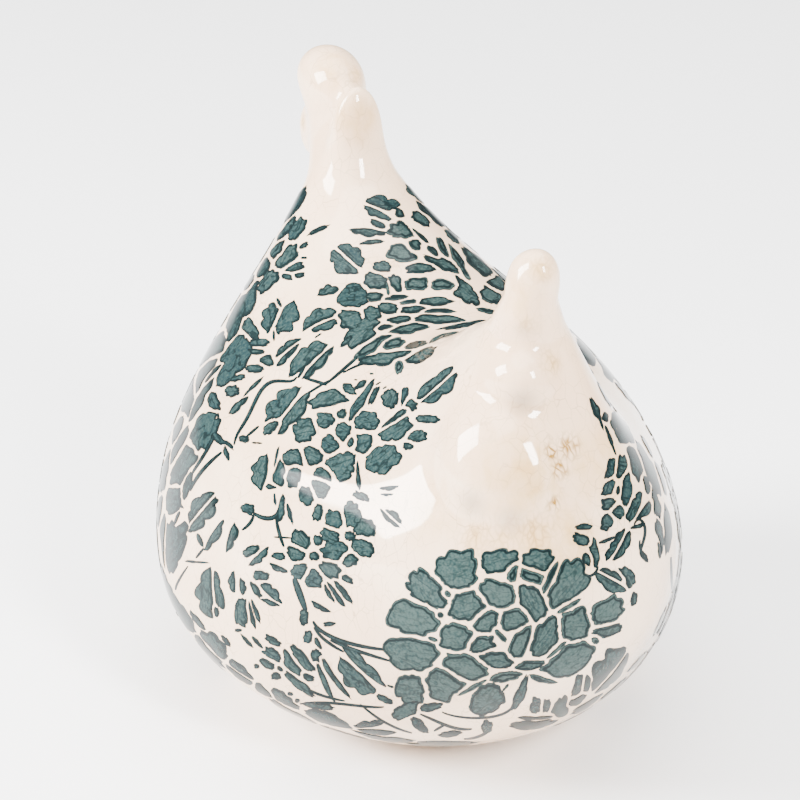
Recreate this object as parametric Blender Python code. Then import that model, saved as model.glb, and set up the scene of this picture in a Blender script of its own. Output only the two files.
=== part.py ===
"""A glazed ceramic hen figurine, slip-cast in one hollow piece with a vent hole in its foot.

Metres, +Z up. The beak points along -Y, the tail along +Y, and the foot rests on z = 0.
The outside is one smooth blend of rounded masses: belly, chest, neck, head, comb, beak, wattles,
tail and the feather bumps down the back of the tail. The skin is the set of points where rays
leave that blend, on a grid of a section angle and an angle around the section. The inside of the
shell is the same blend, drawn in by the wall.
"""

import math

import bpy
import numpy as np

# Body masses: distance along Y, height of the middle, and half sizes
BELLY_Y = 0.0000
BELLY_HEIGHT = 0.0401
BELLY_HALF_WIDTH = 0.0758
BELLY_HALF_LENGTH = 0.0738
BELLY_HALF_HEIGHT = 0.0324
CHEST_Y = 0.0114
CHEST_HEIGHT = 0.0676
CHEST_HALF_WIDTH = 0.0734
CHEST_HALF_LENGTH = 0.0878
CHEST_HALF_HEIGHT = 0.0658
CHEST_BLEND = 0.0410

# Head, on which the neck's top, the comb, the beak and the wattles take their places
HEAD_Y = -0.0660
HEAD_HEIGHT = 0.1678
HEAD_HALF_WIDTH = 0.0095
HEAD_HALF_LENGTH = 0.0121
HEAD_HALF_HEIGHT = 0.0143
HEAD_BLEND = 0.0100

# Neck: a tapering round bar from the breast up to the back of the head
NECK_FOOT_Y = -0.0396
NECK_FOOT_HEIGHT = 0.0633
NECK_FOOT_RADIUS = 0.0454
NECK_TOP_BEHIND_HEAD = 0.0113
NECK_TOP_UNDER_HEAD = 0.0126
NECK_TOP_RADIUS = 0.0132
NECK_BLEND = 0.0594

# Tail: a tapering round bar, a long mass at its root, and the knob that stands on its top
TAIL_FOOT_Y = 0.0843
TAIL_FOOT_HEIGHT = 0.0864
TAIL_FOOT_RADIUS = 0.0362
TAIL_TOP_Y = 0.0822
TAIL_TOP_HEIGHT = 0.1745
TAIL_TOP_RADIUS = 0.0041
TAIL_BLEND = 0.0432
ROOT_Y = 0.0615
ROOT_HEIGHT = 0.0974
ROOT_HALF_WIDTH = 0.0120
ROOT_HALF_LENGTH = 0.0234
ROOT_HALF_HEIGHT = 0.0453
ROOT_BLEND = 0.0266
KNOB_BEHIND_TAIL = 0.0062
KNOB_OVER_TAIL = 0.0013
KNOB_HALF_WIDTH = 0.0058
KNOB_HALF_LENGTH = 0.0062
KNOB_HALF_HEIGHT = 0.0074
KNOB_BLEND = 0.0120

# The two lobes of the comb, placed from the middle of the head
FRONT_LOBE_AHEAD = 0.0060
FRONT_LOBE_RISE = 0.0171
FRONT_LOBE_HALF_WIDTH = 0.0108
FRONT_LOBE_HALF_LENGTH = 0.0157
FRONT_LOBE_HALF_HEIGHT = 0.0110
FRONT_LOBE_BLEND = 0.0100
REAR_LOBE_BEHIND = 0.0166
REAR_LOBE_RISE = 0.0047
REAR_LOBE_HALF_WIDTH = 0.0088
REAR_LOBE_HALF_LENGTH = 0.0052
REAR_LOBE_HALF_HEIGHT = 0.0170
REAR_LOBE_BLEND = 0.0090

# Beak, level with the middle of the head, and the pair of wattles under it
BEAK_AHEAD = 0.0159
BEAK_HALF_WIDTH = 0.0042
BEAK_HALF_LENGTH = 0.0121
BEAK_HALF_HEIGHT = 0.0050
BEAK_BLEND = 0.0040
WATTLE_SIDE = 0.0041
WATTLE_AHEAD = 0.0119
WATTLE_DROP = 0.0024
WATTLE_HALF_WIDTH = 0.0041
WATTLE_HALF_LENGTH = 0.0082
WATTLE_HALF_HEIGHT = 0.0094
WATTLE_BLEND = 0.0040

# Feather bumps round the back and the left side of the tail. Each stands on the tail's own surface at
# a drop below the tail's top and at a bearing from straight back towards the hen's left. It stands
# out by its proud height, and leans so that its lower end is the prouder one.
TIP_BUMP_DROP = 0.0045
TIP_BUMP_BEARING = math.radians(30.0)
TIP_BUMP_HALF_WIDTH = 0.0058
TIP_BUMP_DEPTH = 0.0056
TIP_BUMP_HALF_HEIGHT = 0.0088
TIP_BUMP_PROUD = 0.0004
UPPER_BUMP_DROP = 0.0138
UPPER_BUMP_BEARING = math.radians(34.0)
UPPER_BUMP_HALF_WIDTH = 0.0088
UPPER_BUMP_DEPTH = 0.0085
UPPER_BUMP_HALF_HEIGHT = 0.0068
UPPER_BUMP_PROUD = 0.0015
MIDDLE_BUMP_DROP = 0.0290
MIDDLE_BUMP_BEARING = math.radians(37.0)
MIDDLE_BUMP_HALF_WIDTH = 0.0096
MIDDLE_BUMP_DEPTH = 0.0085
MIDDLE_BUMP_HALF_HEIGHT = 0.0080
MIDDLE_BUMP_PROUD = 0.0030
LOWER_BUMP_DROP = 0.0545
LOWER_BUMP_BEARING = math.radians(46.0)
LOWER_BUMP_HALF_WIDTH = 0.0165
LOWER_BUMP_DEPTH = 0.0105
LOWER_BUMP_HALF_HEIGHT = 0.0185
LOWER_BUMP_PROUD = 0.0032
SIDE_BUMP_DROP = 0.0530
SIDE_BUMP_BEARING = math.radians(64.0)
SIDE_BUMP_HALF_WIDTH = 0.0150
SIDE_BUMP_DEPTH = 0.0105
SIDE_BUMP_HALF_HEIGHT = 0.0180
SIDE_BUMP_PROUD = 0.0032
BUMP_LEAN = math.radians(22.0)
BUMP_BLEND = 0.0052

# Shell and foot
WALL = 0.005
FLOOR_THICKNESS = 0.007
CAVITY_TOP = 0.150
FOOT_Y = -0.0060
FOOT_RING_INNER_RADIUS = 0.0315
FOOT_RECESS_DEPTH = 0.002
VENT_RADIUS = 0.011

# Grid of the skin: sections swing about a level line over the chest, just above the tail's top
PIVOT_OVER_TAIL = 0.0075
SPINE_STEPS = 400
SECTION_COUNT = 48
CAP_COUNT = 8
AROUND_COUNT = 64
HOLLOW_SECTION_COUNT = 26
HOLLOW_CAP_COUNT = 5
HOLLOW_AROUND_COUNT = 36
RAY_COARSE_STEPS = 64
RAY_FINE_STEPS = 24
ROUND_SEGMENTS = 72
WELD_DISTANCE = 0.0001


def smooth_union(first, second, blend):
    """Joins two fields with a fillet that reaches `blend` to each side of the joint."""
    near = np.maximum(blend - np.abs(first - second), 0.0) / blend
    return np.minimum(first, second) - near * near * blend * 0.25


def ellipsoid(points, centre, half_sizes, bearing=0.0, lean=0.0):
    """Near distance to an ellipsoid, negative inside.

    Bearing turns its length from +Y towards +X, and lean then swings its lower end that way.
    """
    offset = points - np.array(centre)
    across = math.cos(bearing) * offset[:, 0] - math.sin(bearing) * offset[:, 1]
    onward = math.sin(bearing) * offset[:, 0] + math.cos(bearing) * offset[:, 1]
    along = math.cos(lean) * onward + math.sin(lean) * offset[:, 2]
    height = math.cos(lean) * offset[:, 2] - math.sin(lean) * onward
    offset = np.stack((across, along, height), axis=1)
    radii = np.array(half_sizes)
    near = np.linalg.norm(offset / radii, axis=1)
    slope = np.linalg.norm(offset / (radii * radii), axis=1)
    return near * (near - 1.0) / np.maximum(slope, 1e-9)


def round_bar(points, start, end, start_radius, end_radius):
    """Distance to a bar with round ends that tapers from one radius to the other."""
    start = np.array(start)
    axis = np.array(end) - start
    length_squared = axis @ axis
    taper = start_radius - end_radius
    flank = length_squared - taper * taper
    offset = points - start
    along = offset @ axis
    past = along - length_squared
    across = offset * length_squared - np.outer(along, axis)
    across_squared = (across * across).sum(axis=1)
    along_squared = along * along * length_squared
    past_squared = past * past * length_squared
    limit = np.sign(taper) * taper * taper * across_squared
    distance = (np.sqrt(across_squared * flank / length_squared) + along * taper) / length_squared
    distance = distance - start_radius
    at_start = np.sign(along) * flank * along_squared < limit
    distance = np.where(at_start, np.sqrt(across_squared + along_squared) / length_squared - start_radius, distance)
    at_end = np.sign(past) * flank * past_squared > limit
    return np.where(at_end, np.sqrt(across_squared + past_squared) / length_squared - end_radius, distance)


def body_field(points):
    """Belly, chest, neck and tail as one smooth blend."""
    field = ellipsoid(
        points,
        (0.0, BELLY_Y, BELLY_HEIGHT),
        (BELLY_HALF_WIDTH, BELLY_HALF_LENGTH, BELLY_HALF_HEIGHT),
    )
    chest = ellipsoid(
        points,
        (0.0, CHEST_Y, CHEST_HEIGHT),
        (CHEST_HALF_WIDTH, CHEST_HALF_LENGTH, CHEST_HALF_HEIGHT),
    )
    field = smooth_union(field, chest, CHEST_BLEND)
    neck = round_bar(
        points,
        (0.0, NECK_FOOT_Y, NECK_FOOT_HEIGHT),
        (0.0, HEAD_Y + NECK_TOP_BEHIND_HEAD, HEAD_HEIGHT - NECK_TOP_UNDER_HEAD),
        NECK_FOOT_RADIUS,
        NECK_TOP_RADIUS,
    )
    field = smooth_union(field, neck, NECK_BLEND)
    tail = round_bar(
        points,
        (0.0, TAIL_FOOT_Y, TAIL_FOOT_HEIGHT),
        (0.0, TAIL_TOP_Y, TAIL_TOP_HEIGHT),
        TAIL_FOOT_RADIUS,
        TAIL_TOP_RADIUS,
    )
    field = smooth_union(field, tail, TAIL_BLEND)
    root = ellipsoid(
        points,
        (0.0, ROOT_Y, ROOT_HEIGHT),
        (ROOT_HALF_WIDTH, ROOT_HALF_LENGTH, ROOT_HALF_HEIGHT),
    )
    return smooth_union(field, root, ROOT_BLEND)


def head_field(points, field):
    """Adds the head, both lobes of the comb, the beak and the wattles to a field."""
    head = ellipsoid(
        points,
        (0.0, HEAD_Y, HEAD_HEIGHT),
        (HEAD_HALF_WIDTH, HEAD_HALF_LENGTH, HEAD_HALF_HEIGHT),
    )
    field = smooth_union(field, head, HEAD_BLEND)
    front_lobe = ellipsoid(
        points,
        (0.0, HEAD_Y - FRONT_LOBE_AHEAD, HEAD_HEIGHT + FRONT_LOBE_RISE),
        (FRONT_LOBE_HALF_WIDTH, FRONT_LOBE_HALF_LENGTH, FRONT_LOBE_HALF_HEIGHT),
    )
    field = smooth_union(field, front_lobe, FRONT_LOBE_BLEND)
    rear_lobe = ellipsoid(
        points,
        (0.0, HEAD_Y + REAR_LOBE_BEHIND, HEAD_HEIGHT + REAR_LOBE_RISE),
        (REAR_LOBE_HALF_WIDTH, REAR_LOBE_HALF_LENGTH, REAR_LOBE_HALF_HEIGHT),
    )
    field = smooth_union(field, rear_lobe, REAR_LOBE_BLEND)
    beak = ellipsoid(
        points,
        (0.0, HEAD_Y - BEAK_AHEAD, HEAD_HEIGHT),
        (BEAK_HALF_WIDTH, BEAK_HALF_LENGTH, BEAK_HALF_HEIGHT),
    )
    field = smooth_union(field, beak, BEAK_BLEND)
    for side in (-WATTLE_SIDE, WATTLE_SIDE):
        wattle = ellipsoid(
            points,
            (side, HEAD_Y - WATTLE_AHEAD, HEAD_HEIGHT - WATTLE_DROP),
            (WATTLE_HALF_WIDTH, WATTLE_HALF_LENGTH, WATTLE_HALF_HEIGHT),
        )
        field = smooth_union(field, wattle, WATTLE_BLEND)
    return field


def knob_field(points, field):
    """Adds the knob at the tail's tip to a field."""
    knob = ellipsoid(
        points,
        (0.0, TAIL_TOP_Y + KNOB_BEHIND_TAIL, TAIL_TOP_HEIGHT + KNOB_OVER_TAIL),
        (KNOB_HALF_WIDTH, KNOB_HALF_LENGTH, KNOB_HALF_HEIGHT),
    )
    return smooth_union(field, knob, KNOB_BLEND)


def plain_tail(points):
    """The body and the knob, on which the feather bumps stand."""
    return knob_field(points, body_field(points))


def seat_bump(drop, bearing, half_width, depth, half_height, proud):
    """Centre, half sizes and bearing of a feather bump, seated by a ray from the middle of the tail."""
    share = drop / (TAIL_TOP_HEIGHT - TAIL_FOOT_HEIGHT)
    middle = np.array((0.0, TAIL_TOP_Y + share * (TAIL_FOOT_Y - TAIL_TOP_Y), TAIL_TOP_HEIGHT - drop))
    heading = np.array((math.sin(bearing), math.cos(bearing), 0.0))
    seat = march(middle[None, None], heading[None, None], plain_tail)[0, 0]
    return seat + heading * (proud - depth), (half_width, depth, half_height), bearing


def tail_bumps():
    """Every feather bump on the tail, from its tip down."""
    return (
        seat_bump(
            TIP_BUMP_DROP,
            TIP_BUMP_BEARING,
            TIP_BUMP_HALF_WIDTH,
            TIP_BUMP_DEPTH,
            TIP_BUMP_HALF_HEIGHT,
            TIP_BUMP_PROUD,
        ),
        seat_bump(
            UPPER_BUMP_DROP,
            UPPER_BUMP_BEARING,
            UPPER_BUMP_HALF_WIDTH,
            UPPER_BUMP_DEPTH,
            UPPER_BUMP_HALF_HEIGHT,
            UPPER_BUMP_PROUD,
        ),
        seat_bump(
            MIDDLE_BUMP_DROP,
            MIDDLE_BUMP_BEARING,
            MIDDLE_BUMP_HALF_WIDTH,
            MIDDLE_BUMP_DEPTH,
            MIDDLE_BUMP_HALF_HEIGHT,
            MIDDLE_BUMP_PROUD,
        ),
        seat_bump(
            LOWER_BUMP_DROP,
            LOWER_BUMP_BEARING,
            LOWER_BUMP_HALF_WIDTH,
            LOWER_BUMP_DEPTH,
            LOWER_BUMP_HALF_HEIGHT,
            LOWER_BUMP_PROUD,
        ),
        seat_bump(
            SIDE_BUMP_DROP,
            SIDE_BUMP_BEARING,
            SIDE_BUMP_HALF_WIDTH,
            SIDE_BUMP_DEPTH,
            SIDE_BUMP_HALF_HEIGHT,
            SIDE_BUMP_PROUD,
        ),
    )


def tail_field(points, field, bumps):
    """Adds the knob at the tail's tip and the feather bumps under it to a field."""
    field = knob_field(points, field)
    for centre, half_sizes, bearing in bumps:
        field = smooth_union(field, ellipsoid(points, centre, half_sizes, bearing, BUMP_LEAN), BUMP_BLEND)
    return field


def outer_field(bumps):
    """The whole outside of the hen, before the foot is cut flat, as a function of points."""

    def field(points):
        return tail_field(points, head_field(points, body_field(points)), bumps)

    return field


def hollow_field(points):
    """The inside of the shell: the body drawn in by the wall, with a flat floor and a flat top."""
    field = body_field(points) + WALL
    field = np.maximum(field, FLOOR_THICKNESS - points[:, 2])
    return np.maximum(field, points[:, 2] - CAVITY_TOP)


def spine_points(knots, count):
    """Section angles and spine distances from the pivot, where the spine runs straight between knots.

    Each knot is a (Y, height) point inside a mass of the body, in order from the tail to the head.
    """
    pivot = np.array((CHEST_Y, TAIL_TOP_HEIGHT + PIVOT_OVER_TAIL))
    order = np.arange(len(knots))
    share = np.linspace(0.0, order[-1], SPINE_STEPS)
    along, height = np.array(knots).T
    path = np.stack((np.interp(share, order, along), np.interp(share, order, height)), axis=1) - pivot
    path_angles = np.arctan2(path[:, 0], -path[:, 1])
    angles = np.linspace(path_angles[0], path_angles[-1], count)
    return angles, np.interp(-angles, -path_angles, np.hypot(path[:, 0], path[:, 1]))


def skin_rays(angles, distances, cap_count, around_count):
    """Ray origins and directions on the grid, with a fan of sections at each end as a cap."""
    outward = np.stack((np.zeros_like(angles), np.sin(angles), -np.cos(angles)), axis=1)
    onward = np.stack((np.zeros_like(angles), -np.cos(angles), -np.sin(angles)), axis=1)
    pivot = np.array((0.0, CHEST_Y, TAIL_TOP_HEIGHT + PIVOT_OVER_TAIL))
    origins = pivot + outward * distances[:, None]
    fan = np.linspace(0.5 * math.pi, 0.0, cap_count, endpoint=False)
    tilt = np.concatenate((-fan, np.zeros(len(angles)), fan[::-1]))
    row = np.concatenate((np.zeros(cap_count, int), np.arange(len(angles)), np.full(cap_count, len(angles) - 1)))
    turn = np.linspace(0.0, 2.0 * math.pi, around_count, endpoint=False)
    sideways = np.array((1.0, 0.0, 0.0))
    flat = np.cos(turn)[None, :, None] * outward[row][:, None, :] + np.sin(turn)[None, :, None] * sideways
    lift = np.sin(tilt)[:, None, None] * onward[row][:, None, :]
    directions = np.cos(tilt)[:, None, None] * flat + lift
    return np.broadcast_to(origins[row][:, None, :], directions.shape), directions


def march(origins, directions, field):
    """Points where the rays first leave the field: coarse steps, then halving.

    No ray goes further than the length of the chest, which is wider than any part from its spine.
    """
    starts = origins.reshape(-1, 3)
    headings = directions.reshape(-1, 3)
    reach = 2.0 * CHEST_HALF_LENGTH
    step = reach / RAY_COARSE_STEPS
    low = np.zeros(len(starts))
    high = np.full(len(starts), reach)
    inside = np.ones(len(starts), bool)
    for index in range(1, RAY_COARSE_STEPS + 1):
        reached = index * step
        left = inside & (field(starts + headings * reached) > 0.0)
        low[left] = reached - step
        high[left] = reached
        inside &= ~left
    for _ in range(RAY_FINE_STEPS):
        middle = 0.5 * (low + high)
        outside = field(starts + headings * middle[:, None]) > 0.0
        high = np.where(outside, middle, high)
        low = np.where(outside, low, middle)
    return (starts + headings * high[:, None]).reshape(directions.shape)


def grid_mesh(name, grid):
    """A closed mesh from a grid whose first and last rows are single points."""
    rows, around = grid.shape[:2]
    inner = grid[1:-1].reshape(-1, 3)
    vertices = np.concatenate((grid[0, :1], inner, grid[-1, :1]))
    last = len(vertices) - 1
    column = np.arange(around)
    following = (column + 1) % around
    base = 1 + np.arange(rows - 3)[:, None] * around
    quads = np.stack((base + column, base + following, base + around + following, base + around + column), axis=2)
    first_ring = np.stack((np.zeros_like(column), 1 + following, 1 + column), axis=1)
    top = 1 + (rows - 3) * around
    last_ring = np.stack((np.full_like(column, last), top + column, top + following), axis=1)
    faces = quads.reshape(-1, 4).tolist() + first_ring.tolist() + last_ring.tolist()
    mesh = bpy.data.meshes.new(name)
    mesh.from_pydata(vertices.tolist(), [], faces)
    mesh.update()
    return mesh


def add_object(name, mesh):
    """Puts a mesh into the scene as an object."""
    item = bpy.data.objects.new(name, mesh)
    bpy.context.scene.collection.objects.link(item)
    return item


def centred_skin():
    """The outside of the hen, moved along Y so that its length is centred on the origin."""
    knots = (
        (TAIL_TOP_Y + KNOB_BEHIND_TAIL, TAIL_TOP_HEIGHT + KNOB_OVER_TAIL),
        (TAIL_FOOT_Y, TAIL_FOOT_HEIGHT),
        (CHEST_Y, BELLY_HEIGHT + 0.3 * BELLY_HALF_HEIGHT),
        (NECK_FOOT_Y, NECK_FOOT_HEIGHT),
        (HEAD_Y + NECK_TOP_BEHIND_HEAD, HEAD_HEIGHT - NECK_TOP_UNDER_HEAD),
        (HEAD_Y, HEAD_HEIGHT + 0.4 * HEAD_HALF_HEIGHT),
    )
    angles, distances = spine_points(knots, SECTION_COUNT)
    origins, directions = skin_rays(angles, distances, CAP_COUNT, AROUND_COUNT)
    grid = march(origins, directions, outer_field(tail_bumps()))
    shift = -0.5 * (grid[..., 1].max() + grid[..., 1].min())
    grid[..., 1] += shift
    return grid, shift


def hollow_skin(shift):
    """The inside of the shell, with the same shift along Y as the outside."""
    knots = (
        (0.6 * TAIL_FOOT_Y, TAIL_FOOT_HEIGHT),
        (CHEST_Y, BELLY_HEIGHT + 0.3 * BELLY_HALF_HEIGHT),
        (NECK_FOOT_Y, NECK_FOOT_HEIGHT),
        (HEAD_Y + NECK_TOP_BEHIND_HEAD, CAVITY_TOP - 2.0 * WALL),
    )
    angles, distances = spine_points(knots, HOLLOW_SECTION_COUNT)
    origins, directions = skin_rays(angles, distances, HOLLOW_CAP_COUNT, HOLLOW_AROUND_COUNT)
    grid = march(origins, directions, hollow_field)
    grid[..., 1] += shift
    return grid


def cylinder(name, along, radius, bottom, top):
    """An upright cylinder on the middle plane, at a place along Y."""
    turn = np.linspace(0.0, 2.0 * math.pi, ROUND_SEGMENTS, endpoint=False)
    ring = np.stack((radius * np.cos(turn), along + radius * np.sin(turn)), axis=1)
    low = np.column_stack((ring, np.full(ROUND_SEGMENTS, bottom)))
    high = np.column_stack((ring, np.full(ROUND_SEGMENTS, top)))
    column = np.arange(ROUND_SEGMENTS)
    following = (column + 1) % ROUND_SEGMENTS
    sides = np.stack((column, following, following + ROUND_SEGMENTS, column + ROUND_SEGMENTS), axis=1).tolist()
    caps = [column[::-1].tolist(), (column + ROUND_SEGMENTS).tolist()]
    mesh = bpy.data.meshes.new(name)
    mesh.from_pydata(np.concatenate((low, high)).tolist(), [], sides + caps)
    mesh.update()
    return add_object(name, mesh)


def ground_block(depth):
    """A block below z = 0, wider than the hen, that cuts the foot flat."""
    reach = 3.0 * BELLY_HALF_LENGTH
    corners = [(x, y, z) for z in (-depth, 0.0) for y in (-reach, reach) for x in (-reach, reach)]
    faces = [(0, 2, 3, 1), (4, 5, 7, 6), (0, 1, 5, 4), (2, 6, 7, 3), (0, 4, 6, 2), (1, 3, 7, 5)]
    mesh = bpy.data.meshes.new("ground_cut")
    mesh.from_pydata(corners, [], faces)
    mesh.update()
    return add_object("ground_cut", mesh)


def subtract(target, cutter):
    """Cuts one object out of another and hides the cutter."""
    cut = target.modifiers.new(cutter.name, "BOOLEAN")
    cut.operation = "DIFFERENCE"
    cut.solver = "EXACT"
    cut.object = cutter
    cutter.hide_render = True
    cutter.display_type = "WIRE"


def glaze():
    """Cream crackle glaze over the earthenware, clear and glossy."""
    material = bpy.data.materials.new("cream_crackle_glaze")
    material.use_nodes = True
    shader = material.node_tree.nodes["Principled BSDF"]
    shader.inputs["Base Color"].default_value = (0.80, 0.71, 0.63, 1.0)
    shader.inputs["Roughness"].default_value = 0.12
    shader.inputs["IOR"].default_value = 1.5
    material.diffuse_color = (0.80, 0.71, 0.63, 1.0)
    return material


def main():
    """Builds the hen from an empty scene."""
    for leftover in list(bpy.data.objects):
        bpy.data.objects.remove(leftover, do_unlink=True)
    grid, shift = centred_skin()
    hen = add_object("hen", grid_mesh("hen", grid))
    hen.data.materials.append(glaze())
    hen.data.polygons.foreach_set("use_smooth", np.ones(len(hen.data.polygons), bool))
    subtract(hen, ground_block(BELLY_HALF_HEIGHT))
    subtract(hen, add_object("hollow_cut", grid_mesh("hollow_cut", hollow_skin(shift))))
    foot = FOOT_Y + shift
    subtract(hen, cylinder("recess_cut", foot, FOOT_RING_INNER_RADIUS, -FOOT_RECESS_DEPTH, FOOT_RECESS_DEPTH))
    subtract(hen, cylinder("vent_cut", foot, VENT_RADIUS, -FLOOR_THICKNESS, 2.0 * FLOOR_THICKNESS))
    weld = hen.modifiers.new("join_slivers", "WELD")
    weld.merge_threshold = WELD_DISTANCE


main()
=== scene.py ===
"""A glazed ceramic hen with a teal flower print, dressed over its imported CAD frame.

The fine skin follows the same smooth blend of rounded masses as the CAD part, on a denser grid.
The print is a set of thin patches laid on that skin: petals, leaves, half leaves and stems.
Metres, +Z up, beak towards -Y, tail towards +Y, the hen's left flank towards +X.
"""

import logging
import math
from collections.abc import Callable
from dataclasses import dataclass, field, replace
from enum import Enum

import bpy
import numpy as np
from mathutils import Matrix

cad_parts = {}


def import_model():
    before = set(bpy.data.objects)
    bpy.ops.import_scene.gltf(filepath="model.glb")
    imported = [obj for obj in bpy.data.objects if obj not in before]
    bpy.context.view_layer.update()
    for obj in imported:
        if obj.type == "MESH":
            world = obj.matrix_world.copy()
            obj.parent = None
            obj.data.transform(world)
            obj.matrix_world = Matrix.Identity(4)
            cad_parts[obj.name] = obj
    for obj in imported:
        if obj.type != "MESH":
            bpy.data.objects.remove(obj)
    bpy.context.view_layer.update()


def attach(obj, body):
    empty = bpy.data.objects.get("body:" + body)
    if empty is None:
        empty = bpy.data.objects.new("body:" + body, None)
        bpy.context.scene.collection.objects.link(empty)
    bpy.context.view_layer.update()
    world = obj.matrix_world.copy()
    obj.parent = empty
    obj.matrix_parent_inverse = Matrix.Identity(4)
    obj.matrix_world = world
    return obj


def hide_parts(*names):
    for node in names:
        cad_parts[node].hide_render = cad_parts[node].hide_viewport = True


LOG = logging.getLogger("hen")
MILLIMETRE = 0.001

# A field gives the near distance of each point to a skin, negative inside
Field = Callable[[np.ndarray], np.ndarray]


def linear(colour: str) -> tuple[float, float, float, float]:
    """Turns an sRGB hex colour into linear red, green, blue and a full alpha.

    Args:
        colour: Six hex digits after a hash sign.

    Returns:
        The four linear channels.
    """
    channels = [int(colour[place : place + 2], 16) / 255.0 for place in (1, 3, 5)]
    bent = [value / 12.92 if value <= 0.04045 else ((value + 0.055) / 1.055) ** 2.4 for value in channels]
    return (bent[0], bent[1], bent[2], 1.0)


def add_node(
    tree: bpy.types.NodeTree,
    kind: str,
    inputs: dict | tuple,
    output: str | int = 0,
    stops: tuple = (),
    **options: object,
) -> bpy.types.NodeSocket:
    """Adds one shader node with its settings and links.

    Args:
        tree: The node tree that it goes into.
        kind: Blender's name of the node type, less ShaderNode in front.
        inputs: Value or source socket of each input, in order, or by its name or number.
        output: Name or number of the output that is wanted.
        stops: Position and hex colour of each stop of a colour ramp, in order.
        options: Other settings of the node itself.

    Returns:
        The wanted output.
    """
    node = tree.nodes.new("ShaderNode" + kind)
    for name, value in options.items():
        setattr(node, name, value)
    for name, value in inputs.items() if isinstance(inputs, dict) else enumerate(inputs):
        if isinstance(value, bpy.types.NodeSocket):
            tree.links.new(value, node.inputs[name])
        else:
            node.inputs[name].default_value = value
    if stops:
        ramp = node.color_ramp
        while len(ramp.elements) < len(stops):
            ramp.elements.new(1.0)
        for element, (position, colour) in zip(ramp.elements, stops):
            element.position = position
            element.color = linear(colour)
    return node.outputs[output]


def new_material(name: str) -> tuple[bpy.types.Material, bpy.types.NodeTree, bpy.types.Node]:
    """Starts a material: itself, its node tree and its shader."""
    material = bpy.data.materials.new(name)
    material.use_nodes = True
    tree = material.node_tree
    return material, tree, tree.nodes["Principled BSDF"]


def viewpoint(azimuth: float, elevation: float, aim: tuple, distance: float) -> tuple:
    """Works out how a camera or a light stands that looks at an aim.

    Args:
        azimuth: Degrees round from -Y towards +X.
        elevation: Degrees up.
        aim: Where it looks.
        distance: How far off it stands.

    Returns:
        Its place, and its directions back, right and up.
    """
    swing = math.radians(azimuth)
    rise = math.radians(elevation)
    level = math.cos(rise)
    back = np.array((math.sin(swing) * level, -math.cos(swing) * level, math.sin(rise)))
    right = np.array((math.cos(swing), math.sin(swing), 0.0))
    return np.array(aim) + distance * back, back, right, np.cross(back, right)


def put(data: bpy.types.ID, place: np.ndarray, *axes: np.ndarray) -> bpy.types.Object:
    """Puts a camera or a light into the scene.

    Args:
        data: The camera or the light.
        place: Where it stands.
        axes: Its directions back, right and up.

    Returns:
        The new object.
    """
    back, right, up = axes
    rows = np.eye(4)
    rows[:3] = np.stack((right, up, back, place), axis=1)
    item = bpy.data.objects.new(data.name, data)
    item.matrix_world = Matrix(rows.tolist())
    bpy.context.scene.collection.objects.link(item)
    return item


def ring_numbers(count: int) -> tuple[np.ndarray, np.ndarray]:
    """Numbers of the points round a ring, and of the point after each."""
    column = np.arange(count)
    return column, (column + 1) % count


def mesh_object(name: str, vertices: np.ndarray, faces: list) -> bpy.types.Object:
    """Makes a smooth-shaded mesh object and puts it into the scene.

    Args:
        name: The object's name.
        vertices: Corner points, one row each.
        faces: Corner numbers of each face, counter-clockwise from outside.

    Returns:
        The new object, at the origin.
    """
    mesh = bpy.data.meshes.new(name)
    mesh.from_pydata(vertices.tolist(), [], faces)
    mesh.polygons.foreach_set("use_smooth", np.ones(len(mesh.polygons), bool))
    mesh.update()
    item = bpy.data.objects.new(name, mesh)
    bpy.context.scene.collection.objects.link(item)
    return item


@dataclass(frozen=True)
class Mass:
    """A rounded mass of the body: an ellipsoid that melts into what is there already."""

    along: float
    height: float
    half_width: float
    half_length: float
    half_height: float
    blend: float
    side: float = 0.0
    bearing: float = 0.0
    lean: float = 0.0

    def distance(self, points: np.ndarray) -> np.ndarray:
        """Near distance of points to the ellipsoid, negative inside.

        The length of the point scaled by the half sizes, less one, over the slope of that length.
        The bearing turns its length from +Y towards +X, and the lean swings its lower end that way.
        """
        offset = points - np.array((self.side, self.along, self.height))
        across = math.cos(self.bearing) * offset[:, 0] - math.sin(self.bearing) * offset[:, 1]
        onward = math.sin(self.bearing) * offset[:, 0] + math.cos(self.bearing) * offset[:, 1]
        cosine = math.cos(self.lean)
        sine = math.sin(self.lean)
        turned = np.stack(
            (across, cosine * onward + sine * offset[:, 2], cosine * offset[:, 2] - sine * onward), axis=1
        )
        radii = np.array((self.half_width, self.half_length, self.half_height))
        near = np.linalg.norm(turned / radii, axis=1)
        slope = np.linalg.norm(turned / (radii * radii), axis=1)
        return near * (near - 1.0) / np.maximum(slope, 1e-9)


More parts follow.
